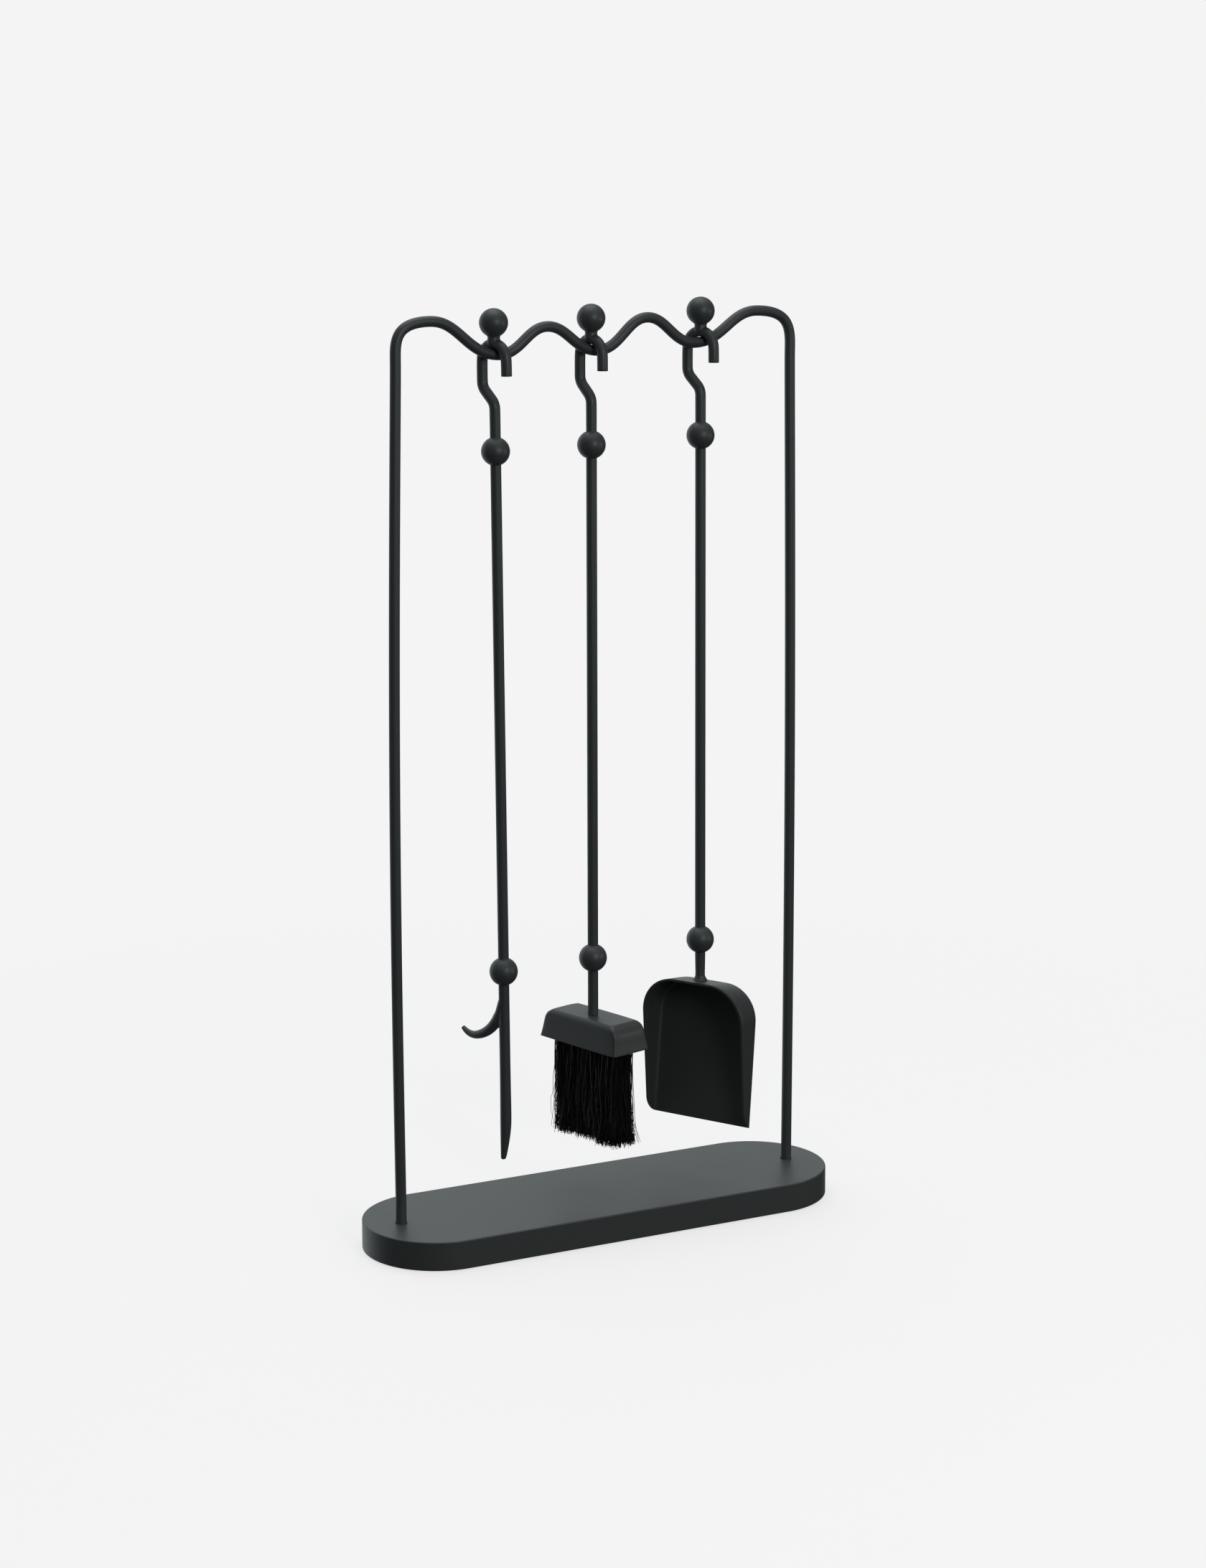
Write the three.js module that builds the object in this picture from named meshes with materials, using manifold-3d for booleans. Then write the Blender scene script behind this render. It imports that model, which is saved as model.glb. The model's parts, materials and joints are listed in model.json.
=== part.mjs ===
// A fireplace tool set: a round-ended floor plate, one bent rod standing on it as a rack,
// and a poker, a brush and a shovel that hang on the rack by open hooks.
// Units are millimetres, +Z is up, X runs along the rack and -Y is the front.

import * as THREE from 'three';
import { mergeVertices } from 'three/addons/utils/BufferGeometryUtils.js';
import Module from 'manifold-3d';

const wasm = await Module();
wasm.setup();

// ---------------------------------------------------------------- driving dimensions

// Fits
const seatGap = 0.3; // all round a piece that sits in, on or against another

// Floor plate
const plateLength = 453.6;
const plateDepth = 135.5;
const plateTopHeight = 26.8; // above the floor
const plateEdgeRound = 1.2;

// Rubber pads in the plate's underside
const padRadius = 9;
const padHeight = 3;
const padProud = 1; // how far the pads hold the plate off the floor
const padInsetX = 96.8; // from the plate's end
const padInsetY = 26.25; // from the plate's side

// Rod stock and balls
const rodRadius = 4.75;
const ballRadius = 12.6;
const socketDepth = 6; // of a rod end in a ball

// Rack: two posts that bow slightly outwards, and a wave with three valleys between them
const postSpread = 389.9; // between the post centres at the plate
const postOffsetX = 0.15; // of the middle between the posts
const leftPostBow = 3.5;
const rightPostBow = 2.1;
const shoulderHeight = 775.6; // where the posts end and the shoulders start
const leftShoulderX = -191.1;
const rightShoulderX = 194;
const crests = [
  { x: -158, z: 815.2 },
  { x: -48.5, z: 808.6 },
  { x: 49, z: 814.6 },
  { x: 158.5, z: 818.5 },
];
const valleys = [
  { x: -95, z: 784.7 },
  { x: 0, z: 786.2 },
  { x: 96, z: 790.7 },
];
const crestFullness = 0.41; // share of a slope's width that the crest's curve reaches over
const valleyFullness = 0.46;
const shoulderRise = 21; // reach of the shoulder's curve up the post
const leftShoulderReach = 37; // and along the rack
const rightShoulderReach = 41;

// Post fixings
const postSocketDepth = 12; // in the plate's top
const postMouthBevel = 1.1;
const webThickness = 3; // of plate left under a post
const screwRadius = 2.5;
const screwReach = 12; // into the post
const screwHeadRadius = 4.25;
const screwHeadHeight = 5;
const screwSocketRadius = 2.3;
const screwSocketDepth = 2.6;
const washerRadius = 6;
const washerThickness = 1;
const washerClearance = 0.8; // round the washer in the plate

// Hook at the top of each tool: an arch over the rack, and a kink back to the shaft's line
const hookHalfWidth = 14.5; // from the shaft's line to a leg's centre
const hookTipDrop = 27.8; // from the arch's top centre to the front leg's end
const kinkTopDrop = 37.8;
const kinkBottomDrop = 51.9;
const kinkBendRadius = 12;
const finialRise = 17.7; // ball centre above the arch's top centre
const finialNeckRadius = 6.1;
const finialNeckFillet = 0.9; // between the neck and the ball

// Shaft
const upperBallDrop = 93; // below the arch's top centre
const ballSpacing = 461;

// Where the tools hang, how far each is turned, its head beyond its hook, and how far it leans
const poker = { x: -99.5, turn: 21.5, headTurn: 0, lean: 0.53 };
const brush = { x: -6.2, turn: 16.5, headTurn: -0.7, lean: 0 };
const shovel = { x: 102.4, turn: 25, headTurn: 5, lean: 0.08 };

// Poker head, measured down from the lower ball's centre
const pokerLength = 172.5;
const shankRadius = 4.8;
const bladeRadius = 5.15;
const bladeSwellDrop = 135; // where the blade is thickest
const bladeTaperPower = 1.6; // of the curve from there to the point
const pointRadius = 2.35;
const pointEdge = 0.8; // rounding of the point's end
const pointShift = 3.8; // of the point towards the horn's side
const hornRootDrop = 30;
const hornReach = 51.5;
const hornLowDrop = 64.8;
const hornTipDrop = 60;
const hornRootRadius = 4.9;
const hornTipRadius = 1.7;
const hornTaperPower = 2.6; // of its radius from root to tip

// Brush head
const brushStemLength = 52.4; // from the lower ball's centre to the cap's top
const capHeight = 25.5;
const capLength = 101.2; // at its lower edge
const capWidth = 43.6;
const capShift = 1.2; // of the cap's middle past the stem, across its width
const capLean = 3; // of each wall, over its height
const capWall = 1.6;
const capCornerRadius = 3.5;
const capEndRound = 11; // between the top and the end walls
const capSideRound = 5; // between the top and the long walls
const blockClearance = 0.5; // between the block and the cap's inside
const studRadius = 3;
const studLength = 13;
const insertRadius = 6;
const insertLength = 10;
const blockRaise = 6; // of the block's underside inside the cap
const bristleLength = 86; // at the block
const bristleWidth = 26;
const bristleDrop = 88; // below the cap
const bristleSplay = 1.5; // of each long side, at the ends of the bristles
const bristleCornerRadius = 5;

// Shovel head
const shovelStemLength = 38.6; // from the lower ball's centre to the pan
const stemWaistRadius = 4.3;
const stemFootRadius = 6.6;
const stemFootEdge = 0.8; // height of the foot's straight edge
const stemFootFlare = 6; // height of the flare
const stemWaistShare = 0.4; // of the stem above the waist's taper
const tenonRadius = 3;
const tenonLength = 3;
const panWidth = 104.6; // across the pan's back
const panLength = 129.6;
const panSheet = 2;
const panCornerRadius = 33.4; // of the rounded end's corners
const panBackRound = 5; // between the back and the walls
const panDraft = 1.3; // degrees that the walls open outwards
const panTilt = 6.8; // degrees that the open end comes forward
const panHeelDepth = 35.9; // of the walls at the rounded end
const panMouthDepth = 15.7; // and where they turn in to the open end
const panToeLength = 18.5; // over which they turn in
const panToeFullness = 0.35; // share of that length where the turn is sharpest
const panShift = 1.3; // of the pan's middle past the stem, towards the hook's tip
const stemBack = 17.3; // from the pan's back to the stem's line

// Facets
const rodSides = 12;
const ballSides = 18;

// ---------------------------------------------------------------- worked-out dimensions

const rad = THREE.MathUtils.degToRad;
const socketRadius = rodRadius + seatGap;
const rodEndInBall = ballRadius - socketDepth + seatGap; // from a ball's centre to a rod end in it
const lowerBallDrop = upperBallDrop + ballSpacing;
const plateThickness = plateTopHeight - padProud;
const postFootHeight = plateTopHeight - postSocketDepth + seatGap;
const webTop = plateTopHeight - postSocketDepth;
const webBottom = webTop - webThickness;
const leftPostX = postOffsetX - postSpread / 2;
const rightPostX = postOffsetX + postSpread / 2;

// ---------------------------------------------------------------- materials

const coatedSteel = new THREE.MeshStandardMaterial({ color: 0x25292a, roughness: 0.55, metalness: 0.2 });
const coatedPlate = new THREE.MeshStandardMaterial({ color: 0x2d3132, roughness: 0.6, metalness: 0.2 });
const plainSteel = new THREE.MeshStandardMaterial({ color: 0x9a9c9e, roughness: 0.35, metalness: 1 });
const brass = new THREE.MeshStandardMaterial({ color: 0xb08d4a, roughness: 0.35, metalness: 1 });
const rubber = new THREE.MeshStandardMaterial({ color: 0x151515, roughness: 0.9, metalness: 0 });
const wood = new THREE.MeshStandardMaterial({ color: 0x8a6a44, roughness: 0.7, metalness: 0 });
const fibre = new THREE.MeshStandardMaterial({ color: 0x0d0d0d, roughness: 0.8, metalness: 0 });

// ---------------------------------------------------------------- solids

function bare(geometry) {
  const shape = geometry.index ? geometry.toNonIndexed() : geometry.clone();
  shape.deleteAttribute('normal');
  shape.deleteAttribute('uv');
  return mergeVertices(shape, 1e-4);
}

function solidOf(geometry) {
  const merged = bare(geometry);
  const mesh = new wasm.Mesh({
    numProp: 3,
    vertProperties: new Float32Array(merged.attributes.position.array),
    triVerts: new Uint32Array(merged.index.array),
  });
  mesh.merge();
  return new wasm.Manifold(mesh);
}

function geometryOf(solid) {
  const mesh = solid.getMesh();
  const geometry = new THREE.BufferGeometry();
  geometry.setAttribute('position', new THREE.BufferAttribute(mesh.vertProperties, 3));
  geometry.setIndex(new THREE.BufferAttribute(mesh.triVerts, 1));
  return geometry;
}

function cut(geometry, ...tools) {
  let solid = solidOf(geometry);
  for (const tool of tools) {
    solid = solid.subtract(solidOf(tool));
  }
  return geometryOf(solid);
}

function named(name, geometry, material) {
  const mesh = new THREE.Mesh(bare(geometry), material);
  mesh.name = name;
  return mesh;
}

// A turned piece on the Z axis. Points are [radius, height], from the lower end to the upper.
function turned(points, sides) {
  const profile = points.map(([radius, height]) => new THREE.Vector2(radius, height));
  return new THREE.LatheGeometry(profile, sides).rotateX(Math.PI / 2);
}

function disc(radius, bottom, top, sides) {
  return turned([[0, bottom], [radius, bottom], [radius, top], [0, top]], sides);
}

// ---------------------------------------------------------------- rods

// A path through stations, so that a straight takes one step and a bend takes several.
class StationPath extends THREE.Curve {
  constructor(stations) {
    super();
    this.stations = stations;
  }

  getPointAt(u, target = new THREE.Vector3()) {
    return target.copy(this.stations[Math.round(u * (this.stations.length - 1))]);
  }

  getTangentAt(u, target = new THREE.Vector3()) {
    const last = this.stations.length - 1;
    const here = Math.round(u * last);
    const arriving = this.direction(Math.max(here, 1));
    const leaving = this.direction(Math.min(here + 1, last));
    return target.copy(arriving.add(leaving).normalize());
  }

  direction(to) {
    return this.stations[to].clone().sub(this.stations[to - 1]).normalize();
  }
}

// Stations along straights that are joined by bends. Corners are { at, radius }.
function bentStations(corners, stepsPerBend) {
  const stations = [corners[0].at];
  for (let i = 1; i < corners.length - 1; i++) {
    const { at, radius } = corners[i];
    const back = corners[i - 1].at.clone().sub(at).normalize();
    const on = corners[i + 1].at.clone().sub(at).normalize();
    const half = back.angleTo(on) / 2;
    const start = at.clone().addScaledVector(back, radius / Math.tan(half));
    const centre = at.clone().addScaledVector(back.clone().add(on).normalize(), radius / Math.sin(half));
    const spoke = start.sub(centre);
    const axis = on.clone().cross(back).normalize();
    const turn = Math.PI - 2 * half;
    for (let k = 0; k <= stepsPerBend; k++) {
      const angle = turn * k / stepsPerBend;
      stations.push(centre.clone().add(spoke.clone().applyAxisAngle(axis, angle)));
    }
  }
  stations.push(corners[corners.length - 1].at);
  return stations.filter((point, i) => i === 0 || point.distanceTo(stations[i - 1]) > 0.01);
}

function rodAlong(stations, radius) {
  const section = new THREE.Shape();
  for (let i = 0; i < rodSides; i++) {
    const angle = 2 * Math.PI * i / rodSides;
    section[i ? 'lineTo' : 'moveTo'](radius * Math.cos(angle), radius * Math.sin(angle));
  }
  return new THREE.ExtrudeGeometry(section, {
    steps: stations.length - 1,
    extrudePath: new StationPath(stations),
  });
}

function straightRod(bottom, top) {
  return disc(rodRadius, bottom, top, rodSides);
}

// ---------------------------------------------------------------- rack

function bez(from, fromHandle, toHandle, to) {
  const flat = ([x, z]) => new THREE.Vector3(x, 0, z);
  return new THREE.CubicBezierCurve3(flat(from), flat(fromHandle), flat(toHandle), flat(to));
}

// The wave's curves from the left shoulder to the right one, each level at crest and valley.
function waveCurves() {
  const curves = [];
  const first = crests[0];
  const last = crests[crests.length - 1];
  curves.push(bez(
    [leftShoulderX, shoulderHeight],
    [leftShoulderX, shoulderHeight + shoulderRise],
    [first.x - leftShoulderReach, first.z],
    [first.x, first.z],
  ));
  valleys.forEach((valley, i) => {
    for (const [from, to, fromShare, toShare] of [
      [crests[i], valley, crestFullness, valleyFullness],
      [valley, crests[i + 1], valleyFullness, crestFullness],
    ]) {
      const width = to.x - from.x;
      curves.push(bez(
        [from.x, from.z],
        [from.x + fromShare * width, from.z],
        [to.x - toShare * width, to.z],
        [to.x, to.z],
      ));
    }
  });
  curves.push(bez(
    [last.x, last.z],
    [last.x + rightShoulderReach, last.z],
    [rightShoulderX, shoulderHeight + shoulderRise],
    [rightShoulderX, shoulderHeight],
  ));
  return curves;
}

function postStations(footX, shoulderX, bow, steps) {
  const stations = [];
  for (let k = 0; k <= steps; k++) {
    const share = k / steps;
    const x = THREE.MathUtils.lerp(footX, shoulderX, share) + bow * Math.sin(Math.PI * share);
    stations.push(new THREE.Vector3(x, 0, THREE.MathUtils.lerp(plateTopHeight, shoulderHeight, share)));
  }
  return stations;
}

const postSteps = 8;
const waveSteps = 9;
const wave = waveCurves();

function rackRod() {
  const left = postStations(leftPostX, leftShoulderX, -leftPostBow, postSteps);
  const right = postStations(rightPostX, rightShoulderX, rightPostBow, postSteps).reverse();
  const top = wave.flatMap((curve, i) => {
    const points = curve.getPoints(waveSteps);
    return i ? points.slice(1) : points;
  });
  const stations = [
    new THREE.Vector3(leftPostX, 0, postFootHeight),
    ...left.slice(0, -1),
    ...top,
    ...right.slice(1),
    new THREE.Vector3(rightPostX, 0, postFootHeight),
  ];
  const bores = [leftPostX, rightPostX].map((x) => disc(
    screwRadius + seatGap,
    postFootHeight - 1,
    postFootHeight + screwReach + 1,
    rodSides,
  ).translate(x, 0, 0));
  return cut(rodAlong(stations, rodRadius), ...bores);
}

// ---------------------------------------------------------------- stand

const padPlaces = [];
for (const [side, y] of [['front', -1], ['back', 1]]) {
  for (const [end, x] of [['left', -1], ['right', 1]]) {
    padPlaces.push({
      name: `${side}_${end}_pad`,
      x: x * (plateLength / 2 - padInsetX),
      y: y * (plateDepth / 2 - padInsetY),
    });
  }
}

function plateOutline() {
  const radius = plateDepth / 2 - plateEdgeRound;
  const straight = plateLength / 2 - plateDepth / 2;
  const outline = new THREE.Shape();
  outline.absarc(straight, 0, radius, -Math.PI / 2, Math.PI / 2);
  outline.absarc(-straight, 0, radius, Math.PI / 2, 3 * Math.PI / 2);
  return outline;
}

function basePlate() {
  const slab = new THREE.ExtrudeGeometry(plateOutline(), {
    depth: plateThickness - 2 * plateEdgeRound,
    bevelThickness: plateEdgeRound,
    bevelSize: plateEdgeRound,
    bevelSegments: 2,
    curveSegments: 18,
  }).translate(0, 0, padProud + plateEdgeRound);
  const counterbore = washerRadius + washerClearance;
  const tools = padPlaces.map(({ x, y }) => disc(
    padRadius + seatGap,
    -1,
    padHeight + seatGap,
    20,
  ).translate(x, y, 0));
  for (const x of [leftPostX, rightPostX]) {
    const mouth = socketRadius + postMouthBevel;
    tools.push(turned([
      [0, -1],
      [counterbore, -1],
      [counterbore, webBottom],
      [screwRadius + seatGap, webBottom],
      [screwRadius + seatGap, webTop],
      [socketRadius, webTop],
      [socketRadius, plateTopHeight - postMouthBevel],
      [mouth + 1, plateTopHeight + 1],
      [0, plateTopHeight + 1],
    ], 18).translate(x, 0, 0));
  }
  return cut(slab, ...tools);
}

function postScrew() {
  const headTop = webBottom - washerThickness - 2 * seatGap;
  const headBottom = headTop - screwHeadHeight;
  const body = turned([
    [0, headBottom],
    [screwHeadRadius, headBottom],
    [screwHeadRadius, headTop],
    [screwRadius, headTop],
    [screwRadius, postFootHeight + screwReach],
    [0, postFootHeight + screwReach],
  ], rodSides);
  return cut(body, disc(screwSocketRadius, headBottom - 1, headBottom + screwSocketDepth, 6));
}

function postWasher() {
  const top = webBottom - seatGap;
  const hole = screwRadius + seatGap;
  return turned([
    [hole, top - washerThickness],
    [washerRadius, top - washerThickness],
    [washerRadius, top],
    [hole, top],
    [hole, top - washerThickness],
  ], 16);
}

function stand() {
  const group = new THREE.Group();
  group.add(named('base_plate', basePlate(), coatedPlate));
  group.add(named('rack_rod', rackRod(), coatedSteel));
  for (const [side, x] of [['left', leftPostX], ['right', rightPostX]]) {
    const screw = named(`${side}_post_screw`, postScrew(), plainSteel);
    const washer = named(`${side}_post_washer`, postWasher(), plainSteel);
    screw.position.x = x;
    washer.position.x = x;
    group.add(screw, washer);
  }
  for (const { name, x, y } of padPlaces) {
    const pad = named(name, disc(padRadius, 0, padHeight, 20), rubber);
    pad.position.set(x, y, 0);
    group.add(pad);
  }
  return group;
}

// ---------------------------------------------------------------- what the three tools share

// A ball with a socket for a rod at each end, about its own centre.
function socketedBall() {
  const floor = ballRadius - socketDepth;
  const lip = Math.asin(socketRadius / ballRadius);
  const rows = 10;
  const points = [[0, -floor], [socketRadius, -floor]];
  for (let i = 0; i <= rows; i++) {
    const angle = THREE.MathUtils.lerp(lip, Math.PI - lip, i / rows);
    points.push([ballRadius * Math.sin(angle), -ballRadius * Math.cos(angle)]);
  }
  points.push([socketRadius, floor], [0, floor]);
  return turned(points, ballSides);
}

function hookStations() {
  const at = (y, z) => new THREE.Vector3(0, y, z);
  const corners = [
    { at: at(0, -upperBallDrop + rodEndInBall) },
    { at: at(0, -kinkBottomDrop), radius: kinkBendRadius },
    { at: at(hookHalfWidth, -kinkTopDrop), radius: kinkBendRadius },
    { at: at(hookHalfWidth, 0), radius: hookHalfWidth },
    { at: at(-hookHalfWidth, 0), radius: hookHalfWidth },
    { at: at(-hookHalfWidth, -hookTipDrop) },
  ];
  return bentStations(corners, 5);
}

// The ball on top of the hook, with its neck fitted over the arch.
function finialBall() {
  const neckBottom = rodRadius / 3;
  const neckTop = finialRise - Math.sqrt(ballRadius ** 2 - finialNeckRadius ** 2);
  const rows = 9;
  const points = [
    [0, neckBottom],
    [finialNeckRadius, neckBottom],
    [finialNeckRadius, neckTop - finialNeckFillet],
  ];
  const start = Math.asin((finialNeckRadius + finialNeckFillet) / ballRadius);
  for (let i = 0; i <= rows; i++) {
    const angle = THREE.MathUtils.lerp(start, Math.PI, i / rows);
    points.push([ballRadius * Math.sin(angle), finialRise - ballRadius * Math.cos(angle)]);
  }
  points[points.length - 1][0] = 0;
  const clearance = rodAlong(hookStations(), rodRadius + seatGap);
  return cut(turned(points, ballSides), clearance);
}

// Everything from the finial to the lower ball. The origin is the arch's top centre.
function handle(tool) {
  const group = new THREE.Group();
  group.add(named(`${tool}_finial_ball`, finialBall(), coatedSteel));
  group.add(named(`${tool}_hook`, rodAlong(hookStations(), rodRadius), coatedSteel));
  const upper = named(`${tool}_upper_ball`, socketedBall(), coatedSteel);
  upper.position.z = -upperBallDrop;
  const lower = named(`${tool}_lower_ball`, socketedBall(), coatedSteel);
  lower.position.z = -lowerBallDrop;
  const shaft = straightRod(-lowerBallDrop + rodEndInBall, -upperBallDrop - rodEndInBall);
  group.add(upper, lower, named(`${tool}_shaft`, shaft, coatedSteel));
  return group;
}

// Height of a hook's top centre when its arch rests across the rack at x, turned about Z: the
// lowest height that keeps every point of the arch's line a rod and a gap from the rack's line.
function hookHeight({ x, turn }) {
  const apart = 2 * rodRadius + seatGap;
  const rack = wave.flatMap((curve) => curve.getPoints(60));
  let height = 0;
  for (let angle = -60; angle <= 60; angle += 2) {
    const out = hookHalfWidth * Math.sin(rad(angle));
    const drop = hookHalfWidth * (1 - Math.cos(rad(angle)));
    const archX = x + out * Math.sin(rad(turn));
    const archY = -out * Math.cos(rad(turn));
    for (const point of rack) {
      const across = Math.hypot(archX - point.x, archY);
      if (across < apart) {
        height = Math.max(height, point.z + drop + Math.sqrt(apart ** 2 - across ** 2));
      }
    }
  }
  return height;
}

// A tool hung on the rack, with its head made about the lower ball's centre.
function hungTool(tool, place, headPieces) {
  const group = handle(tool);
  const head = new THREE.Group();
  head.position.z = -lowerBallDrop;
  head.rotation.z = rad(place.headTurn);
  head.add(...headPieces);
  group.add(head);
  group.position.set(place.x, 0, hookHeight(place));
  group.rotation.set(0, rad(-place.lean), rad(place.turn), 'YXZ');
  return group;
}

// ---------------------------------------------------------------- poker head

function bladeShift(drop) {
  const share = THREE.MathUtils.clamp((drop - bladeSwellDrop) / (pokerLength - bladeSwellDrop), 0, 1);
  return pointShift * share ** 1.5;
}

function pokerBlade() {
  const points = [
    [0, -pokerLength],
    [pointRadius - pointEdge, -pokerLength],
  ];
  const rows = 5;
  for (let i = 0; i <= rows; i++) {
    const share = 1 - i / rows;
    const radius = THREE.MathUtils.lerp(bladeRadius, pointRadius, share ** bladeTaperPower);
    points.push([radius, -THREE.MathUtils.lerp(bladeSwellDrop, pokerLength - pointEdge, share)]);
  }
  points.push(
    [shankRadius, -(hornLowDrop + bladeSwellDrop) / 2],
    [shankRadius, -hornLowDrop],
    [shankRadius, -ballRadius],
    [shankRadius, -rodEndInBall],
    [0, -rodEndInBall],
  );
  const blade = turned(points, rodSides);
  const place = blade.attributes.position;
  for (let i = 0; i < place.count; i++) {
    place.setY(i, place.getY(i) + bladeShift(-place.getZ(i)));
  }
  return blade;
}

// The horn is a tapered bar, bent along a curve in the hook's plane.
function pokerHorn() {
  const route = new THREE.CatmullRomCurve3([
    new THREE.Vector3(0, 0, -hornRootDrop + 4),
    new THREE.Vector3(0, 0.1 * hornReach, -hornRootDrop - 10),
    new THREE.Vector3(0, 0.3 * hornReach, -hornLowDrop + 11.3),
    new THREE.Vector3(0, 0.52 * hornReach, -hornLowDrop + 3.6),
    new THREE.Vector3(0, 0.76 * hornReach, -hornLowDrop),
    new THREE.Vector3(0, 0.93 * hornReach, -hornLowDrop + 2),
    new THREE.Vector3(0, hornReach, -hornTipDrop),
  ]);
  const steps = 14;
  const bar = [[0, 0]];
  for (let i = 0; i <= steps; i++) {
    const share = i / steps;
    bar.push([THREE.MathUtils.lerp(hornRootRadius, hornTipRadius, share ** hornTaperPower), share]);
  }
  bar.push([0, 1]);
  const horn = turned(bar, rodSides);
  const place = horn.attributes.position;
  const across = new THREE.Vector3(1, 0, 0);
  for (let i = 0; i < place.count; i++) {
    const share = THREE.MathUtils.clamp(place.getZ(i), 0, 1);
    const tangent = route.getTangentAt(share);
    const up = tangent.clone().cross(across);
    const point = route.getPointAt(share);
    point.addScaledVector(across, place.getX(i)).addScaledVector(up, place.getY(i));
    place.setXYZ(i, point.x, point.y, point.z);
  }
  return cut(horn, disc(shankRadius + seatGap, -pokerLength, 0, rodSides));
}

function pokerHead() {
  return [
    named('poker_blade', pokerBlade(), coatedSteel),
    named('poker_horn', pokerHorn(), coatedSteel),
  ];
}

// ---------------------------------------------------------------- brush head

// A stack of round-cornered rectangles. Levels are { z, halfX, halfY }, all with one corner radius.
function stackedBlock(levels, cornerRadius) {
  const outline = new THREE.Shape();
  const corners = [[1, -1, -90], [1, 1, 0], [-1, 1, 90], [-1, -1, 180]];
  const cornerSteps = 3;
  corners.forEach(([x, y, start], i) => {
    for (let k = 0; k <= cornerSteps; k++) {
      const angle = rad(start + 90 * k / cornerSteps);
      const point = [2 * x + Math.cos(angle), 2 * y + Math.sin(angle)];
      outline[i || k ? 'lineTo' : 'moveTo'](...point);
    }
  });
  const block = new THREE.ExtrudeGeometry(outline, {
    steps: levels.length - 1,
    depth: levels.length - 1,
    bevelEnabled: false,
  });
  const place = block.attributes.position;
  const spread = (value, half) => {
    const side = Math.sign(value);
    return side * (half - cornerRadius) + (value - 2 * side) * cornerRadius;
  };
  for (let i = 0; i < place.count; i++) {
    const { z, halfX, halfY } = levels[Math.round(place.getZ(i))];
    place.setXYZ(i, spread(place.getX(i), halfX), spread(place.getY(i), halfY), z);
  }
  return block;
}

// How far a rounded top edge has come in at a height below the cap's top.
function roundInset(radius, below) {
  if (below >= radius) return 0;
  return radius - Math.sqrt(radius ** 2 - (radius - below) ** 2);
}

const capRoundRows = [0.35, 0.6, 0.78, 0.9]; // heights of the rounding's rows, as shares of it
const capFlatShare = 0.04; // of a rounding, left off where it meets the flat top

// The cap's outside, or a surface inside it by an inset, between two heights above its lower edge.
function capBody(inset, bottom, top) {
  const roof = capHeight - inset;
  const endRound = capEndRound - inset;
  const sideRound = capSideRound - inset;
  const roundStart = roof - endRound;
  const heights = [bottom, roundStart / 2, roundStart];
  for (const share of capRoundRows) {
    heights.push(roundStart + endRound * share);
  }
  const levels = heights.filter((z) => z >= bottom && z < top - seatGap).concat(top).map((z) => {
    const climb = THREE.MathUtils.clamp(z / capHeight, 0, 1);
    const lean = capLean * (1 - (1 - climb) ** 2);
    const below = Math.max(roof - z, 0);
    const shortfall = (radius) => roundInset(radius, Math.max(below, capFlatShare * radius));
    return {
      z,
      halfX: capWidth / 2 - inset - lean - shortfall(sideRound),
      halfY: capLength / 2 - inset - lean - shortfall(endRound),
    };
  });
  return stackedBlock(levels, capCornerRadius - inset).translate(capShift, 0, 0);
}

const capTop = -brushStemLength;
const capBottom = capTop - capHeight;
const blockGap = capWall + blockClearance;
const blockTop = capHeight - blockGap;

function brushStem() {
  return turned([
    [0, capTop - studLength],
    [studRadius, capTop - studLength],
    [studRadius, capTop + seatGap],
    [rodRadius, capTop + seatGap],
    [rodRadius, -rodEndInBall],
    [0, -rodEndInBall],
  ], rodSides);
}

function brushCap() {
  const inside = capBody(capWall, -1, capHeight - capWall);
  const hole = disc(studRadius + seatGap, 0, capHeight + 1, rodSides);
  return cut(capBody(0, 0, capHeight), inside, hole).translate(0, 0, capBottom);
}

function brushBlock() {
  const body = capBody(blockGap, blockRaise, blockTop);
  const pocket = disc(insertRadius + seatGap, blockTop - insertLength - seatGap, capHeight, 16);
  const relief = disc(studRadius + 1, capHeight - studLength - 1, capHeight, rodSides);
  return cut(body, pocket, relief).translate(0, 0, capBottom);
}

function brushInsert() {
  const hole = studRadius + seatGap;
  return turned([
    [hole, blockTop - insertLength],
    [insertRadius, blockTop - insertLength],
    [insertRadius, blockTop],
    [hole, blockTop],
    [hole, blockTop - insertLength],
  ], 16).translate(0, 0, capBottom);
}

function brushBristles() {
  const root = blockRaise - seatGap;
  const levels = [0, 0.5, 1].map((share) => ({
    z: THREE.MathUtils.lerp(-bristleDrop, root, share),
    halfX: bristleWidth / 2 + bristleSplay * (1 - share) ** 2,
    halfY: bristleLength / 2 - bristleSplay * (1 - share),
  }));
  return stackedBlock(levels, bristleCornerRadius).translate(capShift, 0, capBottom);
}

function brushHead() {
  return [
    named('brush_stem', brushStem(), coatedSteel),
    named('brush_cap', brushCap(), coatedSteel),
    named('brush_block', brushBlock(), wood),
    named('brush_insert', brushInsert(), brass),
    named('brush_bristles', brushBristles(), fibre),
  ];
}

// ---------------------------------------------------------------- shovel head

// The pan is drawn across its width and up its length, and built up from its back forwards.
function panOutline(inset) {
  const half = panWidth / 2 - inset;
  const top = panLength - inset;
  const radius = panCornerRadius - inset;
  const outline = new THREE.Shape();
  outline.moveTo(-half, inset ? -1 : 0);
  outline.lineTo(half, inset ? -1 : 0);
  outline.absarc(half - radius, top - radius, radius, 0, Math.PI / 2);
  outline.absarc(radius - half, top - radius, radius, Math.PI / 2, Math.PI);
  return outline;
}

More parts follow.
